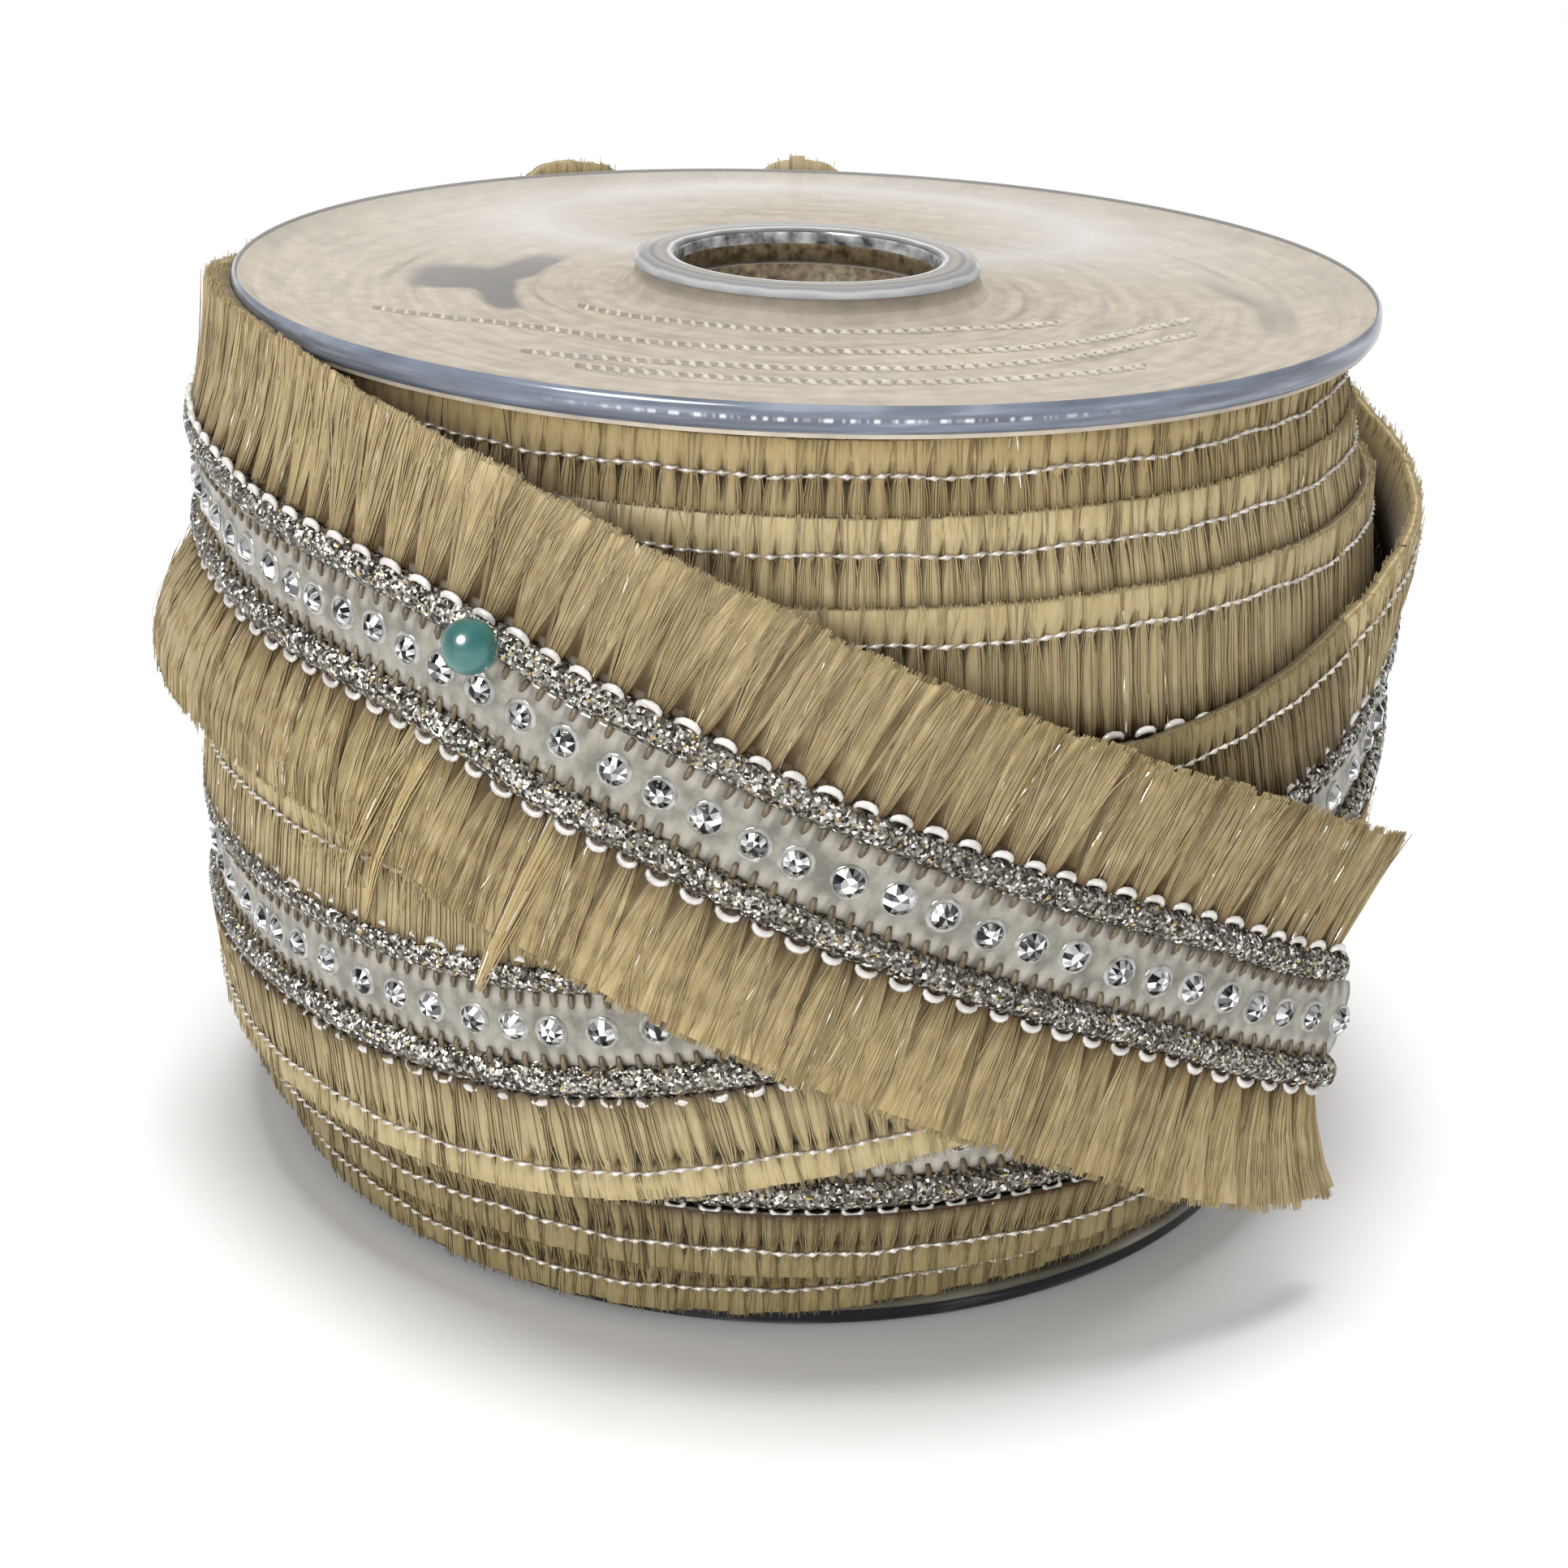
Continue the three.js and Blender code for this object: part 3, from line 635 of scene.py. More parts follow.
def ladder(shape, course, start, stop, side):
    """Short brown bars that tie a cord to the strip."""
    middle = steps(course, start, stop, LADDER_PITCH)[1:-1]
    middle = middle + chance.normal(0, 0.06, len(middle))
    along = np.array([0.0, 0.45, 1.0])
    lean = chance.normal(0.12, 0.06, (len(middle), 1))
    angle = walk(course, middle[:, None], lean * (along - 0.5))
    across = side * (STRIP_HALF - 0.62 + chance.normal(0, 0.08, (len(middle), 1)) + LADDER_LENGTH * along)
    above = LADDER_HEIGHT + np.array([-0.14, 0.08, 0.0])
    radius = np.array([0.20, 0.27, 0.25])
    shape.add(*tubes(place(course, angle, across, above), radius, 5, flat=0.7), lie=middle[:, None, None])


def glitter_cord(shape, course, start, stop, side, facet):
    """A braided cord with a rough, lumpy surface."""
    angle = steps(course, start, stop, facet)
    middle = side * (CORD_INNER + CORD_OUTER) / 2
    half = (CORD_OUTER - CORD_INNER) / 2
    turn = np.linspace(-0.12, 1.12, CORD_CORNERS) * math.pi
    walked = np.radians(angle) * column(course, SEAT, angle)
    braid = 0.06 * np.sin(walked[:, None] * 4.4 + turn[None, :] * 2.0)
    grow = 1 + braid + chance.uniform(-0.04, 0.04, (len(angle), CORD_CORNERS))
    across = middle + half * np.cos(turn)[None, :] * grow
    above = CORD_SEAT + (CORD_THICKNESS - CORD_SEAT) * np.sin(turn)[None, :] * grow
    slip = chance.uniform(-0.4, 0.4, (len(angle), CORD_CORNERS)) * facet
    slip[[0, -1]] = 0
    there = walk(course, angle[:, None], slip)
    points = place(course, there, across, above)
    wall, first, last = sweep_faces(len(angle), CORD_CORNERS)
    triangles = np.concatenate([wall[:, [0, 1, 2]], wall[:, [0, 2, 3]]])
    shape.add(points, [triangles, first, last])


def strip(shape, course, start, stop):
    """The clear strip that carries the stones. Its lie counts the ladder's bars."""
    angle = steps(course, start, stop, STRIP_STEP)
    bars = len(steps(course, start, stop, LADDER_PITCH)) - 1
    side = np.array([STRIP_SHOULDER, STRIP_HALF, 2.2, 1.1])
    across = np.concatenate([-side, [0.0], side[::-1], [STRIP_SHOULDER, -STRIP_SHOULDER]])
    rise = np.array([0.62, 0.86, 0.98, 1.04])
    above = np.concatenate([rise, [1.06], rise[::-1], [STRIP_BACK, STRIP_BACK]])
    wave = 0.05 * np.sin(np.radians(angle) * 61)[:, None] * (above > 0.5)
    points = place(course, angle[:, None], across[None, ::-1], (above[None] + wave)[:, ::-1])
    lie = np.linspace(0, bars, len(angle))[:, None]
    edge = np.abs(across[::-1]) / STRIP_HALF
    shape.add(points, sweep_faces(len(angle), len(across)), lie=lie, part=edge)


def local_frames(course, angle, across, above):
    """Middle and three unit directions (along, across, out) for things set on a ribbon."""
    middle = place(course, angle, across, above)
    along = place(course, angle + 0.5, across, above) - place(course, angle - 0.5, across, above)
    along /= np.linalg.norm(along, axis=-1, keepdims=True)
    over = place(course, angle, across + 0.5, above) - place(course, angle, across - 0.5, above)
    out = np.cross(along, over)
    out /= np.linalg.norm(out, axis=-1, keepdims=True)
    return middle, along, np.cross(out, along), out


def stone_angles(course, start, stop):
    """Uneven places of the stones along a strip."""
    count = len(steps(course, start, stop, STONE_PITCH))
    gaps = 1 + chance.uniform(-0.28, 0.28, count)
    return start + (stop - start) * (np.cumsum(gaps) - gaps / 2) / gaps.sum()


def stone_form():
    """A round cut stone seen from above: a table in eight wedges, a crown in triangles and a girdle."""
    turn = around(STONE_GIRDLE)
    girdle = np.stack([1.08 * np.cos(turn), 1.08 * np.sin(turn), np.full(STONE_GIRDLE, 0.16)], axis=-1)
    foot = girdle * np.array([0.94, 0.94, 0.0]) - np.array([0, 0, 0.25])
    table = np.stack([0.60 * np.cos(turn[::2]), 0.60 * np.sin(turn[::2]), np.full(8, 0.58)], axis=-1)
    points = np.concatenate([girdle, foot, table, [[0, 0, 0.60]], [[0, 0, -0.25]]])
    table_at = 2 * STONE_GIRDLE
    top = table_at + 8
    faces = []
    for k in range(8):
        here = table_at + k
        beside = table_at + (k + 1) % 8
        rim = 2 * k
        after = (rim + 1) % STONE_GIRDLE
        far = (rim + 2) % STONE_GIRDLE
        faces += [(here, beside, top), (rim, after, here), (after, beside, here), (after, far, beside)]
    for k in range(STONE_GIRDLE):
        after = (k + 1) % STONE_GIRDLE
        faces += [(STONE_GIRDLE + k, after, k), (STONE_GIRDLE + k, STONE_GIRDLE + after, after)]
        faces += [(STONE_GIRDLE + after, STONE_GIRDLE + k, top + 1)]
    return points, np.array(faces)


def stones(shape, course, angles):
    """Cut stones set along the strip, each turned its own way."""
    form, faces = stone_form()
    across = chance.normal(0, 0.12, len(angles))
    middle, along, over, out = local_frames(course, angles, across, STONE_SEAT)
    spin = chance.uniform(0, 2 * math.pi, len(angles))[:, None]
    first = along * np.cos(spin) + over * np.sin(spin)
    second = over * np.cos(spin) - along * np.sin(spin)
    size = chance.normal(1.0, 0.06, (len(angles), 1, 1))
    body = form[None, :, :1] * first[:, None] + form[None, :, 1:2] * second[:, None]
    body = body + form[None, :, 2:] * out[:, None]
    points = middle[:, None] + size * body
    index = faces[None] + (np.arange(len(angles)) * len(form))[:, None, None]
    # Each facet's random brightness is its painted reflection
    shape.add(points, [index.reshape(-1, 3)], facets=chance.random(len(angles) * len(faces)))
    return across


def cups(shape, course, angles, across):
    """The raised clear seat round each stone."""
    middle, along, over, out = local_frames(course, angles, across, STONE_SEAT)
    turn = around(CUP_SIDES)
    ring = np.cos(turn)[None, :, None] * along[:, None] + np.sin(turn)[None, :, None] * over[:, None]
    outline = np.array([(1.08, -0.3), (1.62, -0.3), (1.40, 0.08), (1.12, 0.16)])
    radial = outline[None, None, :, :1] * ring[:, :, None]
    points = middle[:, None, None] + radial + outline[None, None, :, 1:] * out[:, None, None]
    count = len(outline)
    index = np.arange(len(angles) * CUP_SIDES * count).reshape(len(angles), CUP_SIDES, count)
    right = np.roll(index, -1, axis=1)
    faces = np.stack([index, right, np.roll(right, -1, axis=2), np.roll(index, -1, axis=2)], axis=-1)
    shape.add(points, [faces.reshape(-1, 4)])


def add_threads(shape, paths, width, twist=0.0):
    """Flat metal threads along paths, each face with a brightness of its own, a painted glint."""
    points, faces = tubes(paths, width, 4, flat=0.4, twist=twist)
    shape.add(points, faces, facets=chance.random(sum(len(group) for group in faces)))


def sparkles(shape, course, start, stop, side, tips, style, spacing):
    """Flat twisted metal threads that run here and there among the yarns."""
    count = len(steps(course, start, stop, spacing))
    angle = chance.uniform(start, stop, count)
    part = np.linspace(0.05, 1.0, THREAD_STEPS)
    thick = form_at(style, THICKNESS, (1 - part) * 11)
    reach = (column(tips, TIP_REACH, angle) - chance.uniform(0, 2.5, count))[:, None]
    across = side * reach_at(style, reach, part)
    lift = chance.uniform(0, 0.2, (count, 1))
    above = tuft_height(tips, angle[:, None], part, style) + thick + 0.05 + lift
    sway = chance.normal(0, 0.7, (count, 1)) * part**2 + column(tips, TIP_SHIFT, angle)[:, None] * part**2
    there = walk(course, angle[:, None], sway)
    twist = np.linspace(0, 10, THREAD_STEPS)[None] + chance.uniform(0, 6, (count, 1))
    width = np.where(chance.random((count, THREAD_STEPS)) < 0.4, 0.06, 0.025)
    add_threads(shape, place(course, there, across, above), width, twist)


def long_strands(shape, course, start, stop, side, tips, count):
    """A few long yarns that hang past the tips."""
    angle = chance.uniform(start, stop, count)
    along = np.linspace(0, 1, 6)
    longer = 4.0 + chance.uniform(1.5, 6.0, (count, 1))
    reach = column(tips, TIP_REACH, angle)[:, None] - 4.0 + longer * along
    above = column(tips, TIP_HEIGHT, angle)[:, None] + 0.5 - 1.5 * along**2
    sway = chance.normal(-0.3, 1.2, (count, 1)) * along**2
    there = walk(course, angle[:, None], sway)
    strands = tubes(place(course, there, side * reach, above), 0.05, 3)
    shape.add(*strands, lie=angle[:, None, None], part=1.0, tone=0.7)


def hanging_lock(shape, threads, course, lock, side, tips, style):
    """A lock of yarns, with two metallic threads, that hangs past the tips and narrows to its end."""
    middle, hang, shift = lock
    count = LOCK_YARNS
    along = np.linspace(0, 1, 9)
    spot = middle + chance.normal(0, 0.55, (count, 1)) * (1 - 0.75 * along)
    tip = column(tips, TIP_REACH, spot)
    end = tip + hang - np.abs(chance.normal(0, 0.9, (count, 1)))
    reach = LOCK_ROOT + (end - LOCK_ROOT) * along
    part = np.clip((reach - style.root) / (tip - style.root), 0, 1)
    past = np.clip(reach - tip, 0, None)
    cover = (0.62 + chance.uniform(0, 0.3, (count, 1))) * np.clip(4 * part - 0.2, 0, 1)
    above = tuft_height(tips, spot, part, style) + cover - 0.2 * past
    there = walk(course, spot, shift * along**2)
    yarns = tubes(place(course, there, side * reach, above), 0.07, 3)
    shape.add(*yarns, lie=spot[:, :, None], part=0.9, tone=0.86)
    width = np.where(chance.random((2, len(along))) < 0.5, 0.07, 0.03)
    add_threads(threads, place(course, there[:2], side * reach[:2], above[:2] + 0.12), width)


# Materials


def put(tree, socket, value):
    """Sets a socket to a constant or links it to another node's output."""
    if isinstance(value, bpy.types.NodeSocket):
        tree.links.new(value, socket)
    else:
        socket.default_value = value


def feed(tree, shader, **values):
    """Sets or links the sockets of a shader by their names."""
    for socket, value in values.items():
        put(tree, shader.inputs[socket.replace("_", " ")], value)


def new_material(name, **settings):
    """A surface with fixed values set on its shader's own sockets."""
    material = bpy.data.materials.new(name)
    material.use_nodes = True
    tree = material.node_tree
    shader = tree.nodes["Principled BSDF"]
    feed(tree, shader, **settings)
    return material, tree, shader


def add_node(tree, kind, inputs=(), **settings):
    """A node with its properties set and its inputs set or linked."""
    made = tree.nodes.new("ShaderNode" + kind)
    for key, value in settings.items():
        if hasattr(made, key):
            setattr(made, key, value)
        else:
            put(tree, made.inputs[key.replace("_", " ")], value)
    for socket, value in dict(inputs).items():
        put(tree, made.inputs[socket], value)
    return made


def maths(tree, operation, *values):
    """An operation on numbers."""
    return add_node(tree, "Math", dict(enumerate(values)), operation=operation).outputs[0]


def vector_math(tree, operation, first, second=None):
    """An operation on vectors. The second of a SCALE is a number."""
    made = add_node(tree, "VectorMath", {0: first}, operation=operation)
    if second is not None:
        put(tree, made.inputs["Scale" if operation == "SCALE" else 1], second)
    return made.outputs["Value" if operation in ("LENGTH", "DOT_PRODUCT") else "Vector"]


def joined(tree, *values):
    """A vector from one to three values."""
    return add_node(tree, "CombineXYZ", dict(enumerate(values))).outputs["Vector"]


def point_value(tree, name):
    return add_node(tree, "Attribute", attribute_name=name).outputs["Fac"]


def object_spot(tree):
    return add_node(tree, "TexCoord").outputs["Object"]


def noise(tree, scale, vector=None, detail=3.0):
    vector = object_spot(tree) if vector is None else vector
    return add_node(tree, "TexNoise", Scale=scale, Detail=detail, Vector=vector).outputs["Fac"]


def ramp(tree, factor, stops, sharp=False):
    """Maps a value to colours. Stops are (position, colour), and a single number is a grey."""
    made = add_node(tree, "ValToRGB", Fac=factor)
    made.color_ramp.interpolation = "CONSTANT" if sharp else "LINEAR"
    while len(made.color_ramp.elements) < len(stops):
        made.color_ramp.elements.new(0.5)
    for element, (position, colour) in zip(made.color_ramp.elements, stops):
        element.position = position
        element.color = (*np.full(3, colour, float), 1.0)
    return made.outputs["Color"]


def mix(tree, factor, first, second, blend="MIX"):
    """Blends two colours by a factor."""
    made = add_node(tree, "Mix", data_type="RGBA", blend_type=blend)
    for socket, value in zip((0, 6, 7), (factor, first, second)):
        put(tree, made.inputs[socket], (*value, 1.0) if isinstance(value, tuple) else value)
    return made.outputs[2]


def tinted(tree, first, second):
    return mix(tree, 1.0, first, second, "MULTIPLY")


def scaled(tree, value, low, high):
    """Maps a value from 0..1 to low..high."""
    return add_node(tree, "MapRange", Value=value, To_Min=low, To_Max=high).outputs["Result"]


def share_between(tree, value, low, high):
    """Maps a value from low..high to 0..1."""
    return add_node(tree, "MapRange", Value=value, From_Min=low, From_Max=high).outputs["Result"]


def bumped(tree, shader, height, strength, distance, normal=None):
    """Leads a bump, over a normal of its own if one is given, to the shader."""
    made = add_node(tree, "Bump", Strength=strength, Distance=distance * MM, Height=height)
    if normal is not None:
        put(tree, made.inputs["Normal"], normal)
    feed(tree, shader, Normal=made.outputs["Normal"])


def from_axis(tree):
    return vector_math(tree, "SUBTRACT", object_spot(tree), AXIS)


def levelled(tree, vector):
    return vector_math(tree, "MULTIPLY", vector, (1, 1, 0))


def round_axis(tree):
    """Millimetres from the spool's axis: towards the right, towards the back, outwards and upwards."""
    grown = vector_math(tree, "SCALE", from_axis(tree), 1 / MM)
    parts = add_node(tree, "SeparateXYZ", Vector=grown).outputs
    return parts["X"], parts["Y"], vector_math(tree, "LENGTH", levelled(tree, grown)), parts["Z"]


def soft_normal(tree, share):
    """The surface's normal, leaned towards the face of the roll so that thin yarns shade softly."""
    outward = vector_math(tree, "NORMALIZE", levelled(tree, from_axis(tree)))
    normal = add_node(tree, "NewGeometry").outputs["Normal"]
    facing = vector_math(tree, "DOT_PRODUCT", outward, normal)
    size = scaled(tree, share_between(tree, facing, -0.3, 0.3), -share, share)
    push = vector_math(tree, "SCALE", outward, size)
    return vector_math(tree, "NORMALIZE", vector_math(tree, "ADD", normal, push))


def yarn_material(name, root, dark, middle, light):
    """Dull silky yarn: painted shade in the gaps and at the root, streaked from yarn to yarn."""
    material, tree, shader = new_material(
        name, Specular_IOR_Level=0.3, Sheen_Weight=0.08, Sheen_Roughness=0.4
    )
    part = point_value(tree, "part")
    vector = joined(tree, point_value(tree, "lie"), part)
    fine = noise(tree, 5.5, vector, 2.0)
    streak = mix(tree, 0.4, fine, noise(tree, 0.45, vector, 2.0))
    colour = ramp(tree, streak, ((0.34, dark), (0.5, middle), (0.66, light)))
    # Brightness from the tone value: painted shade in gaps, at tuft sides and inside flaps, and random
    # tone from lock to lock
    shade = ramp(tree, point_value(tree, "tone"), (
        (0.0, (0.08, 0.06, 0.04)), (0.26, (0.46, 0.42, 0.36)),
        (0.5, (0.92, 0.91, 0.90)), (1.0, (1.28, 1.27, 1.24)),
    ))
    tip = ramp(tree, part, ((0.72, 1.0), (1.0, (1.15, 1.14, 1.10))))
    colour = tinted(tree, tinted(tree, colour, shade), tip)
    # Painted shade at the root: the root colour is blended in over the first part of each tuft
    root_shade = ramp(tree, part, ((0.0, 0.9), (0.10, 0.3), (0.28, 0)))
    colour = mix(tree, root_shade, colour, root)
    feed(tree, shader, Base_Color=colour, Roughness=scaled(tree, fine, 0.42, 0.62))
    bumped(tree, shader, fine, 0.25, 0.1, soft_normal(tree, 1.3))
    return material


def glitter_material(name, stops, cell, tilt):
    """Fine glitter: small cells that each have a brightness and a lean of their own. The brightness, from
    near black to white, is painted glint; a few cells are gold.
    """
    material, tree, shader = new_material(name, Metallic=0.85)
    cells = add_node(tree, "TexVoronoi", Vector=object_spot(tree), Scale=1 / (cell * MM)).outputs["Color"]
    value = add_node(tree, "SeparateColor", Color=cells).outputs["Red"]
    lean = vector_math(tree, "SCALE", vector_math(tree, "SUBTRACT", cells, (0.5, 0.5, 0.5)), tilt)
    leaned = vector_math(tree, "ADD", lean, add_node(tree, "NewGeometry").outputs["Normal"])
    colour = ramp(tree, value, stops, sharp=True)
    feed(tree, shader, Normal=vector_math(tree, "NORMALIZE", leaned), Base_Color=colour)
    feed(tree, shader, Roughness=scaled(tree, value, 0.38, 0.22))
    return material


def facet_glint_material(name, stops, low, high):
    """Cut facets, each of its own brightness: painted reflections and glints."""
    material, tree, shader = new_material(name, Metallic=0.9, Specular_IOR_Level=0.6)
    facet = point_value(tree, "facet")
    colour = ramp(tree, facet, stops, sharp=True)
    feed(tree, shader, Base_Color=colour, Roughness=scaled(tree, facet, low, high))
    bumped(tree, shader, noise(tree, 5200.0), 0.25, 0.05)
    return material


def mottled_material(name, first, second, scale, rough, bump, **settings):
    """A surface whose colour drifts between two tones, with a fine grain."""
    material, tree, shader = new_material(name, **settings)
    colour = ramp(tree, noise(tree, scale), ((0.32, first), (0.68, second)))
    grain = noise(tree, scale * 6)
    feed(tree, shader, Base_Color=colour, Roughness=scaled(tree, grain, *rough))
    bumped(tree, shader, grain, bump, 0.05)
    return material


def glint_dash_mask(tree, right, back, height, glint_dashes):
    """Where painted highlight dashes show on the front of a rim: at one level, in an uneven beat, near the
    middle.
    """
    level = ramp(tree, share_between(tree, height, *glint_dashes), ((0.0, 0), (0.40, 0), (0.5, 1), (0.60, 0)))
    beat = ramp(tree, noise(tree, 1.2, joined(tree, right), 1.0), ((0.48, 0), (0.58, 0.85)))
    near = share_between(tree, right, -30.0, 34.0)
    near = ramp(tree, near, ((0.16, 0), (0.34, 1), (0.66, 1), (0.84, 0)))
    front = ramp(tree, share_between(tree, back, 1.0, -1.0), ((0.4, 0), (0.6, 1)))
    return tinted(tree, tinted(tree, tinted(tree, level, beat), near), front)


def rim_material(name, dark, light, glint, gloss=0.5, glint_dashes=None):
    """Clear plastic seen edge on, streaked along the rim; the palest streaks are painted glints. Dashes
    are painted highlights: white marks at the front for the stitches that the edge magnifies.
    """
    material, tree, shader = new_material(name, Specular_IOR_Level=gloss)
    right, back, outward, height = round_axis(tree)
    across = maths(tree, "MULTIPLY", maths(tree, "ADD", outward, height), RIM_LINES / RIM_GRAIN)
    streak = noise(tree, RIM_GRAIN, joined(tree, right, back, across), 4.0)
    colour = ramp(tree, streak, ((0.36, dark), (0.54, light), (0.70, glint)))
    if glint_dashes is not None:
        colour = mix(tree, glint_dash_mask(tree, right, back, height, glint_dashes), colour, (0.95, 0.96, 0.97))
    feed(tree, shader, Base_Color=colour, Roughness=scaled(tree, streak, 0.26, 0.10))
    bumped(tree, shader, streak, 0.12, 0.12)
    return material


def plate_material(name, first, second, reflection_veil):
    """Clear plastic sheet, with a pale veil whose opacity follows the Fresnel factor, so that it is hazier
    where it is seen at a low angle: partly haze, partly painted reflection.
    """
    material = mottled_material(name, first, second, 40.0, (0.22, 0.34), 0.04, Specular_IOR_Level=0.5)
    tree = material.node_tree
    slope = add_node(tree, "Fresnel", IOR=1.45).outputs["Fac"]
    feed(tree, tree.nodes["Principled BSDF"], Alpha=scaled(tree, slope, 0.02, reflection_veil))
    return material


def collar_material(name):
    """Clear raised ring round the bore, drawn nearly opaque: thin dark and light lines, painted reflection
    and shade, with grey-beige between them.
    """
    material, tree, shader = new_material(name, Specular_IOR_Level=0.6, Roughness=0.12)
    right, back, outward, _ = round_axis(tree)
    drift = noise(tree, 0.22, joined(tree, right, back), 2.0)
    moved = maths(tree, "ADD", outward, scaled(tree, drift, -0.25, 0.25))
    across = share_between(tree, moved, BORE_RADIUS, COLLAR_RADIUS)
    colour = ramp(tree, across, (
        (0.0, (0.05, 0.055, 0.065)), (0.09, 0.30), (0.16, (0.80, 0.81, 0.82)), (0.24, (0.34, 0.32, 0.29)),
        (0.46, (0.44, 0.405, 0.35)), (0.58, (0.22, 0.225, 0.24)), (0.68, (0.40, 0.385, 0.355)),
        (0.86, (0.26, 0.265, 0.28)), (0.93, (0.48, 0.485, 0.49)), (1.0, (0.27, 0.275, 0.285)),
    ))
    solid = ramp(tree, across, ((0.0, 0.98), (0.5, 0.9), (1.0, 0.95)))
    feed(tree, shader, Base_Color=colour, Alpha=solid)
    bumped(tree, shader, drift, 0.1, 0.1)
    return material


def strip_material(name, dark, light, rib):
    """Cloudy clear strip, with pale ribs between the ladder's bars along both edges."""
    material, tree, shader = new_material(name, Coat_Weight=0.25, Coat_Roughness=0.12)
    cloud = noise(tree, 480.0, detail=5.0)
    colour = ramp(tree, cloud, ((0.36, dark), (0.62, light)))
    beat = maths(tree, "COSINE", maths(tree, "MULTIPLY", point_value(tree, "lie"), 2 * math.pi))
    between = ramp(tree, share_between(tree, beat, 1.0, -1.0), ((0.35, 0), (0.85, 1)))
    edge = ramp(tree, point_value(tree, "part"), ((0.42, 0), (0.80, 0.75)))
    colour = mix(tree, tinted(tree, between, edge), colour, rib)
    feed(tree, shader, Base_Color=colour, Roughness=scaled(tree, cloud, 0.35, 0.15))
    bumped(tree, shader, cloud, 0.35, 0.2)
    return material


def roll_top_material(name):
    """Ends of the turns under the flange: soft patches, faint lines, and painted dark grey shade where the
    turns gape.
    """
    material, tree, shader = new_material(name, Specular_IOR_Level=0.2)
    line = ramp(tree, point_value(tree, "tone"), (
        (0.0, (0.31, 0.265, 0.205)), (0.35, (0.52, 0.462, 0.38)), (1.0, (0.57, 0.508, 0.422)),
    ))
    right, back, outward, _ = round_axis(tree)
    flow = joined(tree, right, back, maths(tree, "MULTIPLY", outward, 9.0))
    patch = noise(tree, 0.11, flow, 5.0)
    patch = ramp(tree, patch, ((0.34, (0.80, 0.81, 0.83)), (0.62, (1.06, 1.05, 1.04))))
    fuzz = noise(tree, 520.0, detail=4.0)
    fuzz = ramp(tree, fuzz, ((0.34, (0.88, 0.87, 0.85)), (0.64, (1.08, 1.08, 1.07))))
    colour = tinted(tree, tinted(tree, line, patch), fuzz)
    # Painted shade: dark grey where the turns gape
    hollow_shade = ramp(tree, point_value(tree, "part"), ((0.2, 0), (0.75, 1)))
    colour = mix(tree, hollow_shade, colour, (0.15, 0.15, 0.155))
    grain = noise(tree, 1500.0)
    feed(tree, shader, Base_Color=colour, Roughness=scaled(tree, grain, 0.6, 0.9))
    bumped(tree, shader, grain, 0.5, 0.1)
    return material


# Darker copies of one yarn are painted shade: they dress the rows that lie in shadow under the flange, low
# on the roll, under the loose end and on its lower fringe. The first colour of each is the painted shade
# at the root.
YARN_LOOSE = yarn_material(
    "yarn_loose", (0.11, 0.06, 0.022), (0.325, 0.246, 0.113), (0.436, 0.34, 0.18), (0.56, 0.462, 0.272)
)
YARN_LOOSE_SHADED = yarn_material(
    "yarn_loose_shaded",
    (0.10, 0.055, 0.02), (0.305, 0.227, 0.102), (0.412, 0.318, 0.162), (0.535, 0.434, 0.246),
)
YARN_WOUND = yarn_material(
    "yarn_wound", (0.09, 0.055, 0.02), (0.41, 0.325, 0.165), (0.51, 0.41, 0.225), (0.59, 0.485, 0.285)
)
YARN_HALF_SHADE = yarn_material(
    "yarn_half_shade", (0.085, 0.05, 0.018), (0.355, 0.28, 0.14), (0.44, 0.353, 0.192), (0.515, 0.422, 0.246)
)
YARN_SHADE = yarn_material(
    "yarn_shade", (0.09, 0.055, 0.02), (0.325, 0.244, 0.116), (0.40, 0.306, 0.153), (0.465, 0.362, 0.191)
)
YARN_DEEP_SHADE = yarn_material(
    "yarn_deep_shade", (0.07, 0.04, 0.016), (0.19, 0.142, 0.06), (0.25, 0.195, 0.09), (0.31, 0.247, 0.132)
)
# The roll's body is near black brown: painted shade for what shows between the tufts
CORE_YARN_SHADE = mottled_material(
    "yarn_core_shade", (0.06, 0.04, 0.018), (0.13, 0.09, 0.042), 500.0, (0.6, 0.9), 0.4
)
TOP_YARN = roll_top_material("yarn_ends")
GLITTER = glitter_material(
    "glitter_silver",
    (
        (0.0, (0.025, 0.023, 0.019)), (0.18, (0.085, 0.078, 0.062)), (0.42, (0.20, 0.188, 0.155)),
        (0.64, (0.36, 0.342, 0.298)), (0.80, (0.60, 0.58, 0.53)), (0.90, (0.98, 0.97, 0.94)),
        (0.975, (0.58, 0.42, 0.17)),
    ),
    0.24, 1.0,
)
CRYSTAL = facet_glint_material(
    "crystal_foil",
    (
        (0.0, (0.03, 0.03, 0.032)), (0.20, (0.15, 0.15, 0.155)), (0.40, (0.42, 0.42, 0.42)),
        (0.62, (0.74, 0.74, 0.75)), (0.80, (0.99, 0.99, 1.0)),
    ),
    0.05, 0.12,
)
SPARKLE = facet_glint_material(
    "sparkle_thread",
    ((0.0, (0.40, 0.30, 0.14)), (0.45, (0.80, 0.72, 0.52)), (0.75, (0.98, 0.96, 0.90))),
    0.12, 0.25,
)
PICOT = mottled_material(
    "picot_pearl", (0.52, 0.49, 0.45), (0.82, 0.80, 0.77), 900.0, (0.22, 0.38), 0.15, Coat_Weight=0.3
)
STITCH = mottled_material(
    "stitch_thread", (0.40, 0.36, 0.30), (0.78, 0.74, 0.68), 1500.0, (0.3, 0.5), 0.3, Metallic=0.15
)
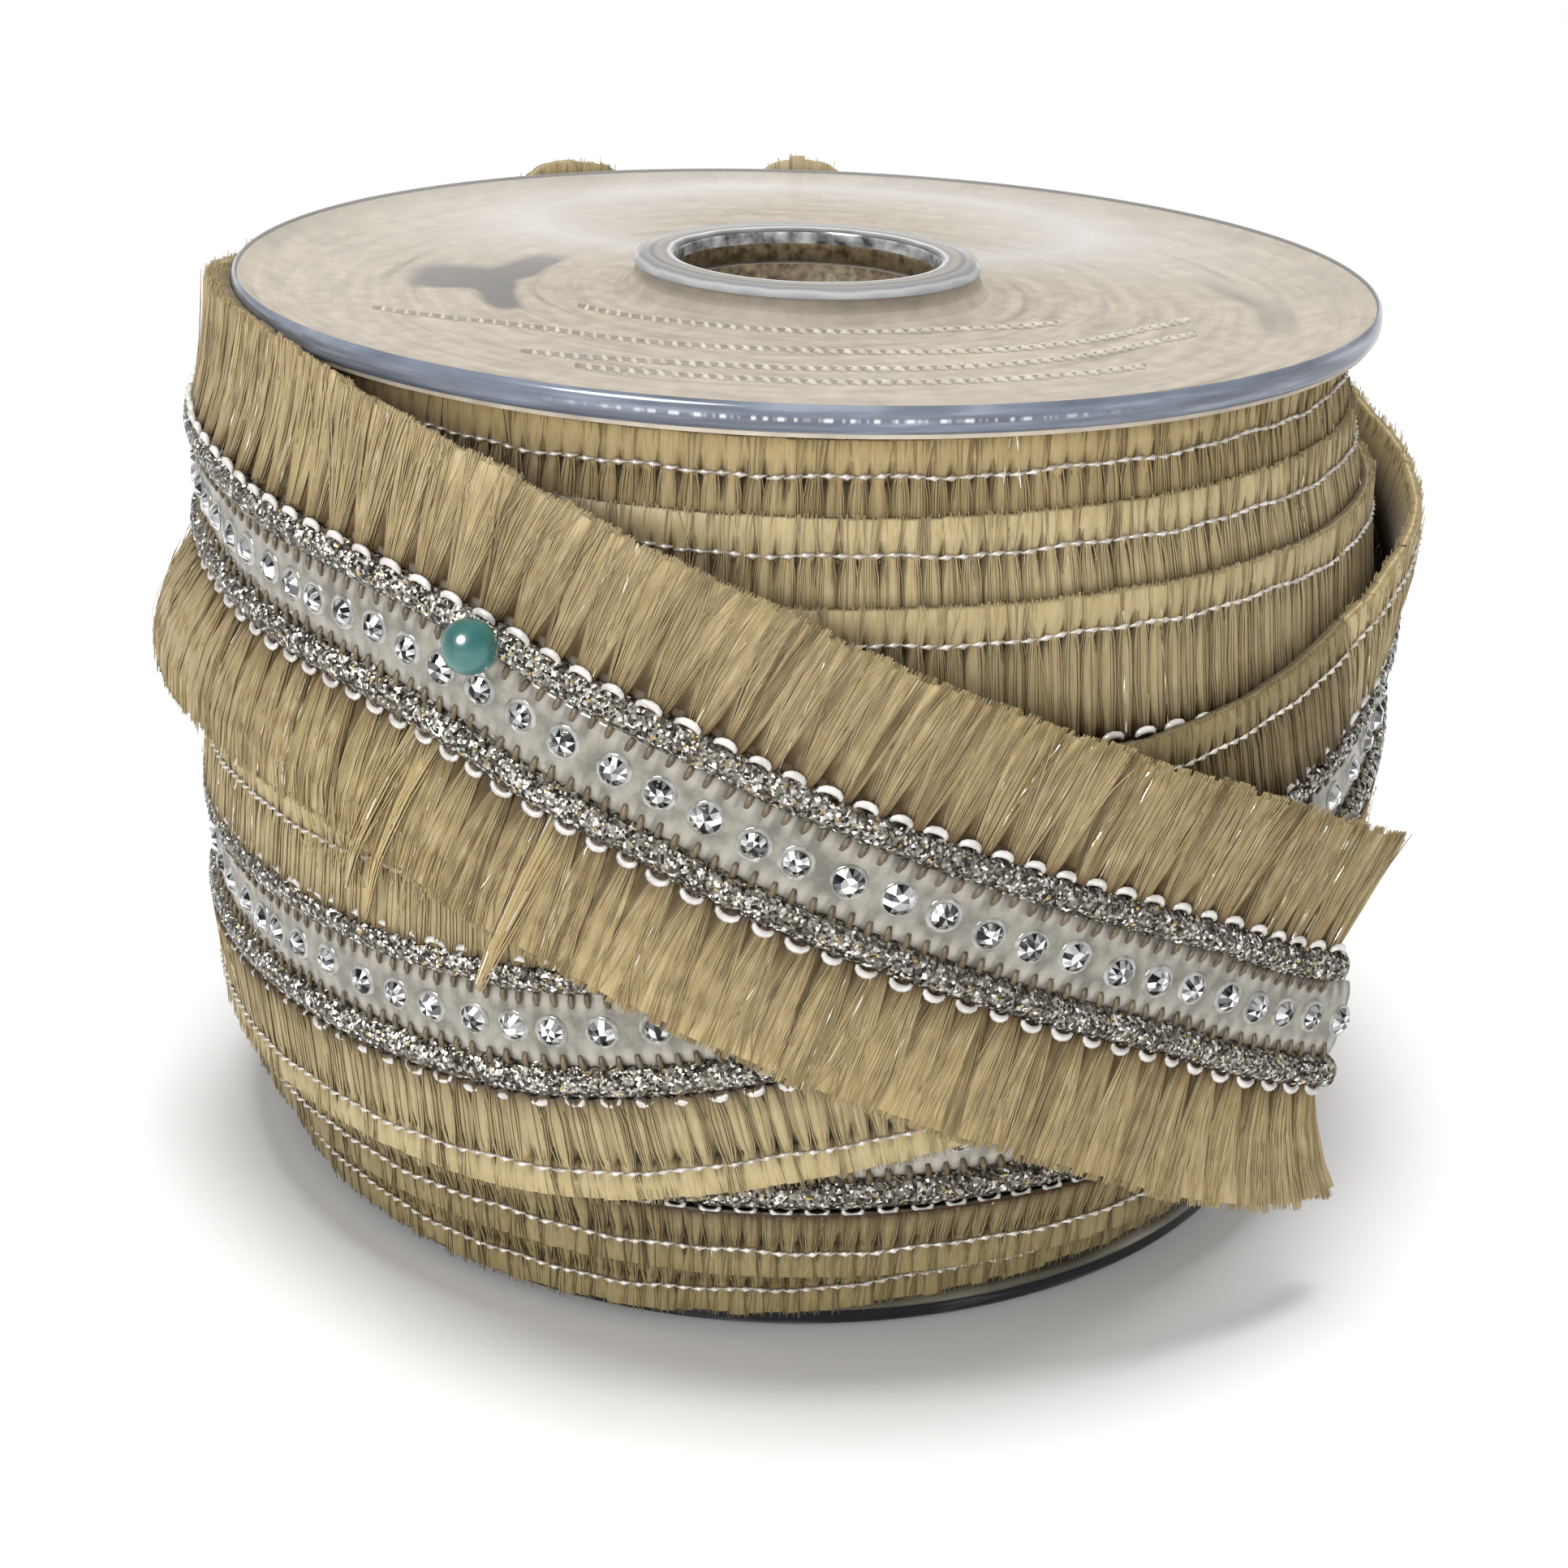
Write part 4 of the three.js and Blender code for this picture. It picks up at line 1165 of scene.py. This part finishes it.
TOP_STITCH = mottled_material(
    "inner_stitch", (0.54, 0.485, 0.41), (0.84, 0.80, 0.73), 1100.0, (0.4, 0.6), 0.3
)
# Dark band under each row of inner stitches: painted shade
TOP_GROOVE_SHADE = mottled_material(
    "inner_groove_shade", (0.22, 0.185, 0.14), (0.37, 0.32, 0.25), 900.0, (0.5, 0.7), 0.3
)
LADDER = mottled_material(
    "ladder_thread", (0.092, 0.069, 0.037), (0.19, 0.148, 0.086), 900.0, (0.45, 0.65), 0.4
)
CLEAR_STRIP = strip_material(
    "clear_strip", (0.15, 0.141, 0.113), (0.325, 0.307, 0.257), (0.43, 0.408, 0.352)
)
CUP = mottled_material(
    "clear_cup", (0.18, 0.175, 0.15), (0.48, 0.47, 0.44), 900.0, (0.08, 0.16), 0.1, Coat_Weight=0.5
)
GROUND = mottled_material(
    "ground_cloth", (0.11, 0.078, 0.04), (0.20, 0.15, 0.09), 1200.0, (0.6, 0.85), 0.5
)
PLATE = plate_material("flange_plate", (0.66, 0.63, 0.585), (0.76, 0.735, 0.69), 0.9)
UNDER_PLATE = plate_material("flange_under", (0.60, 0.57, 0.52), (0.70, 0.67, 0.62), 0.06)
# Upper wall of the bore, mottled from dark to white: painted glints
BORE_WALL_GLINTS = mottled_material(
    "bore_wall_glints", (0.07, 0.072, 0.08), (0.80, 0.81, 0.82), 620.0, (0.1, 0.25), 0.3, Coat_Weight=0.4
)
RIM = rim_material(
    "flange_rim", (0.105, 0.12, 0.155), (0.17, 0.195, 0.245), (0.31, 0.345, 0.41), glint_dashes=(76.8, 79.0)
)
COLLAR = collar_material("flange_collar")
# Near black edge of the lower flange: painted shade for the clear plastic's dark look
SHADED_RIM = rim_material(
    "lower_rim_shade", (0.006, 0.007, 0.009), (0.012, 0.013, 0.016), (0.05, 0.052, 0.056), gloss=0.3
)
TUBE = mottled_material(
    "hub_tube", (0.075, 0.052, 0.024), (0.37, 0.285, 0.165), 1100.0, (0.2, 0.4), 0.4, Coat_Weight=0.4
)
LOW_PLATE = rim_material(
    "lower_plate", (0.075, 0.068, 0.05), (0.14, 0.13, 0.098), (0.25, 0.235, 0.195), gloss=0.4
)
PEARL = mottled_material(
    "teal_pearl", (0.010, 0.085, 0.078), (0.03, 0.17, 0.155), 260.0, (0.25, 0.35), 0.05,
    Coat_Weight=0.8, Coat_Roughness=0.12,
)


# Spool


def upper_flange():
    """The clear upper flange with its collar, and the pale bevels that show inside its edges. The outer
    bevel is a painted reflection: the ends of the turns mirrored in the flange's edge.
    """
    under = SPOOL_HEIGHT - FLANGE_THICKNESS
    edge = TOP_FLANGE_RADIUS - EDGE_ROUND
    profile = [(BORE_RADIUS, under), (edge - 0.5, under)]
    profile += rounded(edge, under + EDGE_ROUND, -90, 90, EDGE_ROUND)
    profile += [(TOP_FLANGE_RADIUS + 0.02, under + FLANGE_THICKNESS / 2)]
    profile += rounded(edge, SPOOL_HEIGHT - EDGE_ROUND, 0, 90, EDGE_ROUND)
    profile += [(edge - 0.5, SPOOL_HEIGHT), (COLLAR_RADIUS, SPOOL_HEIGHT)]
    profile += [(COLLAR_RADIUS - 0.3, SPOOL_HEIGHT + COLLAR_RISE * 0.7)]
    profile += [(COLLAR_RADIUS - COLLAR_RISE, SPOOL_HEIGHT + COLLAR_RISE)]
    collar_top = SPOOL_HEIGHT + COLLAR_RISE
    profile += rounded(BORE_RADIUS + EDGE_ROUND, collar_top - EDGE_ROUND, 90, 90, EDGE_ROUND)
    profile += [(BORE_RADIUS, SPOOL_HEIGHT - 0.6)]
    points, (faces,) = lathe(profile, FLANGE_SIDES)
    shape = Shape()
    shape.add(points, [faces])
    centre = points.reshape(-1, 3)[faces].mean(axis=1)
    radius = np.linalg.norm(centre[:, :2], axis=1)
    height = centre[:, 2]
    zone = np.where(radius > edge + 0.2, 1, np.where(radius < COLLAR_RADIUS, 2, 0))
    zone = np.where(radius < BORE_RADIUS + 0.05, np.where(height > SPOOL_HEIGHT - 0.6, 3, 4), zone)
    zone = np.where((height < under + 0.05) & (radius < edge), 5, zone)
    shape.materials = zone.tolist()
    looks = [PLATE, RIM, COLLAR, BORE_WALL_GLINTS, TUBE, UNDER_PLATE]
    make_piece("upper_flange", shape, looks, ["spool_flange_top"])
    inner = Shape()
    # Pale ring inside the flange's edge: painted reflection of the turn ends
    bevel = [(edge - 6.0, ROLL_TOP), (edge + 0.1, ROLL_TOP), (edge + 0.1, SPOOL_HEIGHT - 0.35)]
    bevel += [(edge - 1.2, ROLL_TOP + 1.2), (edge - 3.2, ROLL_TOP + 0.5)]
    inner.add(*lathe(bevel, FLANGE_SIDES), part=0.0)
    foot = [(COLLAR_RADIUS - 0.4, ROLL_TOP), (COLLAR_RADIUS + 1.9, ROLL_TOP)]
    foot += [(COLLAR_RADIUS + 0.8, ROLL_TOP + 0.5), (COLLAR_RADIUS + 0.1, ROLL_TOP + 1.3)]
    foot += [(COLLAR_RADIUS - 0.4, SPOOL_HEIGHT - 0.08)]
    inner.add(*lathe(foot, FLANGE_SIDES), part=0.0)
    make_piece("flange_inner_edge", inner, [TOP_YARN], smooth=False)


def lower_flange():
    """The lower flange, with a near black band of painted shade round its edge."""
    edge = BOTTOM_FLANGE_RADIUS - EDGE_ROUND
    profile = [(BORE_RADIUS, 0.0), (edge - 1.6, 0.0), (edge - 1.2, 0.0)]
    profile += rounded(edge, EDGE_ROUND, -90, 90, EDGE_ROUND)
    profile += [(BOTTOM_FLANGE_RADIUS, DARK_EDGE)]
    profile += rounded(edge, FLANGE_THICKNESS - EDGE_ROUND, 0, 90, EDGE_ROUND)
    profile += [(edge - 1.2, FLANGE_THICKNESS), (BORE_RADIUS, FLANGE_THICKNESS)]
    points, (faces,) = lathe(profile, FLANGE_SIDES)
    shape = Shape()
    shape.add(points, [faces])
    height = points.reshape(-1, 3)[faces][:, :, 2].mean(axis=1)
    shape.materials = np.where(height > DARK_EDGE, 1, 0).tolist()
    make_piece("lower_flange", shape, [SHADED_RIM, LOW_PLATE], ["spool_flange_bottom"])


def hub_tube():
    """The tube that the ribbon is wound on, seen through the bore."""
    low = FLANGE_THICKNESS + 0.3
    high = SPOOL_HEIGHT - FLANGE_THICKNESS - 0.3
    levels = np.linspace(low, high, HUB_RINGS)
    profile = [(HUB_RADIUS, z) for z in levels] + [(BORE_RADIUS, z) for z in levels[::-1]]
    points, faces = lathe(profile, HUB_SIDES)
    shape = Shape()
    shape.add(points, faces, part=0.0)
    corners = points.reshape(-1, 3)[faces[0]]
    shape.materials = np.where(corners[:, :, 2].min(axis=1) > high - 0.01, 1, 0).tolist()
    make_piece("hub_tube", shape, [TUBE, TOP_YARN], ["spool_hub"])


# Wound roll


def roll_core():
    """The body of the roll under the rows, with the ends of the turns at its top."""
    profile = [(radius, z) for z, radius in ROLL_PROFILE[:-1]]
    top_radius = ROLL_PROFILE[-1][1]
    rings = np.linspace(top_radius, ROLL_BORE + 0.2, ROLL_RINGS)
    profile += [(radius, ROLL_TOP + 0.05) for radius in rings]
    profile += [(ROLL_BORE + 0.2, ROLL_BOTTOM)]
    points, (faces,) = lathe(profile, ROLL_SIDES)
    radius = np.linalg.norm(points[..., :2], axis=-1)
    bearing = np.arctan2(points[..., 0], -points[..., 1])
    turn = np.degrees(bearing)
    top = points[..., 2] > ROLL_TOP - 0.6
    wander = 0.8 * np.sin(bearing * 2 + 0.7) + 0.4 * np.sin(bearing * 5)
    layer = np.sin((radius + turn / 360 * TURN_THICKNESS + wander) * 2 * math.pi / TURN_THICKNESS)
    shown = 0.5 + 0.5 * np.sin(bearing * 3 + radius * 0.35) * np.sin(bearing * 2 - radius * 0.21)
    layer = layer * shown**2
    # Where the turns gape the top sinks, and the part value carries the gap's painted shade
    shaded_gap = np.zeros_like(radius)
    for gap_turn, gap_radius, gap_wide, gap_long, gap_deep in TOP_GAPS:
        off = ((turn - gap_turn) / gap_wide) ** 4 + ((radius - gap_radius) / gap_long) ** 4
        shaded_gap += gap_deep * np.exp(-off)
    shaded_gap = np.clip(shaded_gap, 0, 1)
    points[..., 2] += np.where(top, 0.03 * layer - 0.4 * shaded_gap, 0)
    shape = Shape()
    shape.add(points, [faces], tone=0.5 + 0.5 * layer, part=shaded_gap)
    corners = points.reshape(-1, 3)[faces]
    lowest = corners[:, :, 2].min(axis=1)
    widest = np.linalg.norm(corners[:, :, :2], axis=-1).max(axis=1)
    ends = (lowest > ROLL_TOP - 0.1) | ((lowest > ROLL_TOP - 3.2) & (widest < ROLL_PROFILE[-2][1]))
    shape.materials = np.where(ends, 1, 0).tolist()
    make_piece("roll_core", shape, [CORE_YARN_SHADE, TOP_YARN], ["ribbon_roll"])


def roll_top_stitches():
    """Chain stitches of inner turns that show through the flange, each row over a flattened dark band of
    painted shade.
    """
    shape = Shape()
    for row in TOP_STITCHES:
        fine = np.linspace(row[0][0], row[-1][0], 200)
        far = column(row, 1, fine)
        line = round_spool(far, np.radians(fine), ROLL_TOP)
        walked = walked_along(line)
        middle = np.arange(TOP_STITCH_PITCH, walked[-1] - TOP_STITCH_PITCH, TOP_STITCH_PITCH)[:, None]
        along = np.array([-0.58, -0.25, 0.25, 0.58])
        turn = np.radians(np.interp(middle + along, walked, fine))
        radius = np.interp(middle + along, walked, far) + 0.9 * along
        z = ROLL_TOP + 0.08 + np.array([-0.10, 0.0, 0.0, -0.10])
        shape.add(*tubes(round_spool(radius, turn, z), np.array([0.16, 0.34, 0.34, 0.16]), 4))
        shape.add(*tubes(line[None, ::4], 0.36, 4, flat=0.5), material=1)
    make_piece("roll_top_stitches", shape, [TOP_STITCH, TOP_GROOVE_SHADE])


def stitched(yarns, long=True, **others):
    """Tufts that a stitch holds flat. Short ones show their outer part only."""
    body = LONG_BODY if long else ROW_BODY
    yarn = LONG_YARN if long else ROW_YARN
    return tuft_style(STITCHED_TUFT, STITCH_PITCH, yarns, body, yarn, **others)


def wound_row(name, course, start, stop, side, tips, style, stitch, replaces=(), yarn=YARN_WOUND):
    """A fringe held flat by its chain stitch."""
    shape = Shape()
    fringe(shape, course, start, stop, side, tips, style)
    make_piece(name, shape, [yarn], replaces)
    if stitch is not None:
        stitch_fringe(stitch, course, start, stop, side, tips, style)
    sparkles(SPARKLE_THREADS, course, start, stop, side, tips, style, WOUND_THREADS)


BAND_PIECES = {
    "cords": (GLITTER, "glitter_cord"), "strip": (CLEAR_STRIP, "crystal_strip"),
    "stones": (CRYSTAL, "crystal_strip"), "cups": (CUP, "crystal_strip"),
    "picots": (PICOT, "glitter_cord"), "ladder": (LADDER, "tan_yarn"),
}
FACETED = ("cords", "stones")


def band_shapes():
    return {kind: Shape() for kind in BAND_PIECES}


def set_stones(shapes, course, angles):
    """Stones along a strip, each in its cup."""
    across = stones(shapes["stones"], course, angles)
    cups(shapes["cups"], course, angles, across)


def band(shapes, course, start, stop, edges, facet=WOUND_FACET):
    """The middle of the ribbon: clear strip, stones, cords, ladder bars and picots."""
    for side in edges:
        glitter_cord(shapes["cords"], course, start, stop, side, facet)
        picots(shapes["picots"], course, start, stop, side)
    if len(edges) < 2:
        return
    strip(shapes["strip"], course, start, stop)
    set_stones(shapes, course, stone_angles(course, start, stop))
    for side in edges:
        ladder(shapes["ladder"], course, start, stop, side)


def finish_band(name, shapes, replaces):
    """Makes the pieces of a band. Replaces names the solids that a kind stands for."""
    made = []
    for kind, (look, slot) in BAND_PIECES.items():
        smooth = kind not in FACETED
        solids = replaces.get(kind, ())
        made.append(make_piece(f"{name}_{kind}", shapes[kind], [look], solids, smooth))
    return made


SPARKLE_THREADS = Shape()


def wound_rows():
    """The rows of fringe that are still on the roll, with their chain stitches."""
    stitch = Shape()
    row = stitched(10, long=False, root=9.0, root_height=1.6)
    wound_row("row_top", UNDER_TOP, -88, 170, 1, level_tips(0.4, 19.3), row, stitch, yarn=YARN_SHADE)
    wound_row("row_second", UNDER_SECOND, -28, 130, 1, level_tips(0.4, 16.8), row, stitch)
    high = stitched(10, root_height=1.5)
    wound_row("row_third", HIGH_TURN, -12, 100, 1, level_tips(0.3, 17.4), high, stitch, yarn=YARN_HALF_SHADE)
    under = stitched(5, root_height=1.2)
    wound_row("high_turn_lower", HIGH_TURN, 95, 180, -1, level_tips(1.0, 16.4), under, None)
    wound_row("high_turn_lower_left", HIGH_TURN, -180, -70, -1, level_tips(1.0, 16.4), under, None)
    wound_row("low_turn_upper", LOW_TURN, 53, 180, 1, level_tips(1.2, 16.5), under, stitch)
    wound_row("low_turn_upper_left", LOW_TURN, -180, -140, 1, level_tips(1.2, 16.5), under, stitch)
    low = stitched(9, long=False, root=6.0, root_height=1.5)
    wound_row("low_turn_lower", LOW_TURN, -180, 180, -1, level_tips(0.3, 13.2), low, stitch, yarn=YARN_DEEP_SHADE)
    foot = stitched(9, long=False, root=8.0, root_height=0.8, uneven=0.4, ragged=0.35)
    wound_row("row_foot", UNDER_FOOT, -180, 180, -1, FOOT_TIPS, foot, stitch, yarn=YARN_DEEP_SHADE)
    wound = stitched(10, root_height=1.2)
    turn = (LAST_TURN_START, LOOSE_START)
    wound_row("last_turn_lower", LAST_TURN, *turn, -1, LAST_LOWER_TIPS, wound, stitch, yarn=YARN_HALF_SHADE)
    wound_row("last_turn_upper_left", LAST_TURN, turn[0], 6, 1, LAST_UPPER_TIPS, wound, stitch)
    front = level_tips(0.8, 16.6)
    wound_row("last_turn_upper_front", LAST_TURN, 14, 59, 1, front, wound, stitch, yarn=YARN_DEEP_SHADE)
    free = stitched(
        24, root_height=0.9, sway=0.22, strays=0.2, uneven=0.6, ragged=0.6, wave=0.25,
        lock_sway=0.22, lined=0.5,
    )
    for name, start, stop, solid in (
        ("free_flap_right", 59.4, 168.8, "wrap_fringe_right"),
        ("free_flap_left", 168, LOOSE_START, "wrap_fringe_left"),
    ):
        wound_row(name, LAST_TURN, start, stop, 1, FREE_TIPS, free, stitch, [solid])
    make_piece("chain_stitches", stitch, [STITCH])


def wound_bands():
    """The bands of the turns that are still on the roll."""
    shapes = band_shapes()
    band(shapes, LAST_TURN, LAST_TURN_START, LOOSE_START - 0.3, (1, -1), LAST_FACET)
    band(shapes, LOW_TURN, -180, LAST_TURN_START + 0.3, (1, -1))
    band(shapes, LOW_TURN, -60, 180, (1, -1))
    band(shapes, HIGH_TURN, 95, 180, (-1,))
    band(shapes, HIGH_TURN, -180, -75, (-1,))
    picots(shapes["picots"], HIGH_TURN, 0, 60, 1, HIGH_PICOT_LIFT)
    finish_band("wound", shapes, {})


# Loose end


def loose_end():
    """The peeled end of the ribbon: its ground cloth, band and open fringe."""
    start = LOOSE_START + 0.2
    shapes = band_shapes()
    for side in (1, -1):
        stop = cut_at(side * 4.5)
        glitter_cord(shapes["cords"], LAST_TURN, start - 0.6, stop, side, LOOSE_FACET)
        picots(shapes["picots"], LAST_TURN, start, stop - 0.4, side)
        ladder(shapes["ladder"], LAST_TURN, start, stop, side)
    angles = stone_angles(LAST_TURN, start, cut_at(0) + 2.6)
    strip(shapes["strip"], LAST_TURN, start - 0.6, angles[-1] + 0.5)
    set_stones(shapes, LAST_TURN, angles)
    replaced = {"cords": ("tail_cord_upper", "tail_cord_lower"), "strip": ("tail_crystal_strip",)}
    made = finish_band("loose", shapes, replaced)
    loose = tuft_style(
        LOOSE_TUFT, LOOSE_PITCH, LOOSE_YARNS, LOOSE_BODY, LOOSE_YARN, root_height=0.55,
        columns=LOOSE_COLUMNS, locks=6, lock_sway=0.26, sway=0.12, strays=0.035, uneven=0.35,
        yarn_radius=0.07, bare_tip=0.6, ragged=0.22, wave=0.18, round_tone=0.10, lock_tone=0.12,
        yarn_tone=0.04,
    )
    for side, tips, name, node, yarn in (
        (1, LOOSE_UPPER_TIPS, "loose_fringe_upper", "tail_fringe_upper", YARN_LOOSE),
        (-1, LOOSE_LOWER_TIPS, "loose_fringe_lower", "tail_fringe_lower", YARN_LOOSE_SHADED),
    ):
        shape = Shape()
        stop = cut_at(side * 7) - (LOWER_FRINGE_SHORT if side < 0 else 0)
        fringe(shape, LAST_TURN, start - 2.0, stop, side, tips, loose)
        sparkles(SPARKLE_THREADS, LAST_TURN, start, stop, side, tips, loose, LOOSE_THREADS)
        if side < 0:
            long_strands(shape, LAST_TURN, STRANDS_FROM, STRANDS_TO, side, tips, STRAND_COUNT)
            for lock in HANGING_LOCKS:
                hanging_lock(shape, SPARKLE_THREADS, LAST_TURN, lock, side, tips, loose)
        made.append(make_piece(name, shape, [yarn], [node]))
    loose_ground(start)


def loose_ground(start):
    """The ground cloth of the loose end, a sheet under the other pieces."""
    ground = Shape()
    angle = steps(LAST_TURN, start, cut_at(0), GROUND_STEP)
    width = np.array([-GROUND_HALF, -3.0, 0.0, 3.0, GROUND_HALF])
    outline = np.concatenate([width, width[::-1]])
    level = np.repeat([-0.1, 0.12], len(width))
    end = (angle - start) / (cut_at(0) - start)
    there = angle[:, None] - CUT_SLANT * outline[None] * end[:, None] ** 6
    points = place(LAST_TURN, there, outline[None], level[None])
    ground.add(points, sweep_faces(len(angle), len(outline)))
    sheet = make_piece("loose_ground", ground, [GROUND])


def pin():
    """Pearl head of the pin, with the small seat where its shank goes in."""
    middle, along, over, out = local_frames(LAST_TURN, PIN_ANGLE, PIN_ACROSS, PIN_REST + PIN_RADIUS)
    angle = np.linspace(-86, 90, 22)
    profile = [(PIN_RADIUS * 0.30, -PIN_RADIUS * 1.12), (PIN_RADIUS * 0.34, -PIN_RADIUS * 1.0)]
    profile += [(PIN_RADIUS * math.cos(a), PIN_RADIUS * math.sin(a)) for a in np.radians(angle[4:])]
    turn = around(PIN_SIDES)
    outline = np.array(profile)
    ring = np.cos(turn)[:, None] * along + np.sin(turn)[:, None] * over
    points = middle + outline[:, None, :1] * ring[None] + outline[:, None, 1:] * out
    shape = Shape()
    shape.add(points, sweep_faces(len(outline), PIN_SIDES))
    make_piece("pin_pearl", shape, [PEARL], ["pin_head"])


# Stage


def area_light(name, spot, aim, size, power):
    """A round white lamp at a spot, turned towards its aim."""
    light = bpy.data.lights.new(name, "AREA")
    light.shape = "DISK"
    light.size = size
    light.energy = power
    lamp = bpy.data.objects.new(name, light)
    bpy.context.scene.collection.objects.link(lamp)
    back = np.array(spot) - np.array(aim)
    back /= np.linalg.norm(back)
    side = np.cross([0.0, 0.0, 1.0], back)
    side /= np.linalg.norm(side)
    matrix = np.eye(4)
    matrix[:3] = np.stack([side, np.cross(back, side), back, np.array(spot)], axis=1)
    lamp.matrix_world = Matrix(matrix.tolist())
    return lamp


def stage():
    """The light room, its lamps and the white floor."""
    scene = bpy.context.scene
    scene.view_settings.view_transform = "Standard"
    world = bpy.data.worlds.new("studio")
    world.use_nodes = True
    tree = world.node_tree
    sky = add_node(tree, "TexCoord").outputs["Generated"]
    height = add_node(tree, "SeparateXYZ", Vector=sky).outputs["Z"]
    light = ramp(tree, height, ((0.0, 2.1), (0.07, 2.1), (0.14, 1.05), (0.45, 0.85)))
    feed(tree, tree.nodes["Background"], Color=light, Strength=WORLD_STRENGTH)
    scene.world = world
    area_light("fill", FILL_SPOT, (0, 0, 0.04), FILL_SIZE, FILL_POWER).visible_glossy = False
    area_light("glint", GLINT_SPOT, (0, 0, 0.05), GLINT_SIZE, GLINT_POWER).visible_diffuse = False
    sun = bpy.data.lights.new("overhead", "SUN")
    sun.energy = SUN_STRENGTH
    sun.angle = math.radians(SUN_SPREAD)
    lamp = bpy.data.objects.new("overhead", sun)
    lamp.rotation_euler = (math.radians(-3.5), math.radians(-1.5), 0)
    lamp.visible_glossy = False
    scene.collection.objects.link(lamp)
    turn = around(FLOOR_SIDES)
    level = np.full(FLOOR_SIDES, FLOOR_LEVEL)
    disc = np.stack([FLOOR_RADIUS * np.cos(turn), FLOOR_RADIUS * np.sin(turn), level], axis=-1)
    mesh = bpy.data.meshes.new("floor")
    mesh.from_pydata(disc.tolist(), [], [list(range(FLOOR_SIDES))])
    mesh.materials.append(mottled_material("floor_white", 0.845, 0.855, 9.0, (0.7, 0.8), 0.02))
    floor = bpy.data.objects.new("floor", mesh)
    scene.collection.objects.link(floor)


def camera():
    """The photograph's camera."""
    lens = bpy.data.cameras.new("camera")
    lens.lens = LENS
    lens.sensor_width = SENSOR
    lens.sensor_fit = "HORIZONTAL"
    lens.clip_start = 0.01
    lens.clip_end = 50.0
    down_c, down_s = math.cos(PITCH_DOWN), math.sin(PITCH_DOWN)
    yaw_c, yaw_s = math.cos(YAW), math.sin(YAW)
    level_right = np.array([yaw_c, yaw_s, 0.0])
    level_up = np.array([-yaw_s * down_s, yaw_c * down_s, down_c])
    forward = np.array([-yaw_s * down_c, yaw_c * down_c, -down_s])
    right = math.cos(ROLL) * level_right - math.sin(ROLL) * level_up
    up = math.sin(ROLL) * level_right + math.cos(ROLL) * level_up
    matrix = np.eye(4)
    matrix[:3] = np.stack([right, up, -forward, EYE * MM + AXIS], axis=1)
    viewer = bpy.data.objects.new("camera", lens)
    viewer.matrix_world = Matrix(matrix.tolist())
    bpy.context.scene.collection.objects.link(viewer)
    bpy.context.scene.camera = viewer


camera()
stage()
upper_flange()
lower_flange()
hub_tube()
roll_core()
roll_top_stitches()
wound_rows()
wound_bands()
loose_end()
make_piece("sparkle_threads", SPARKLE_THREADS, [SPARKLE], smooth=False)
pin()
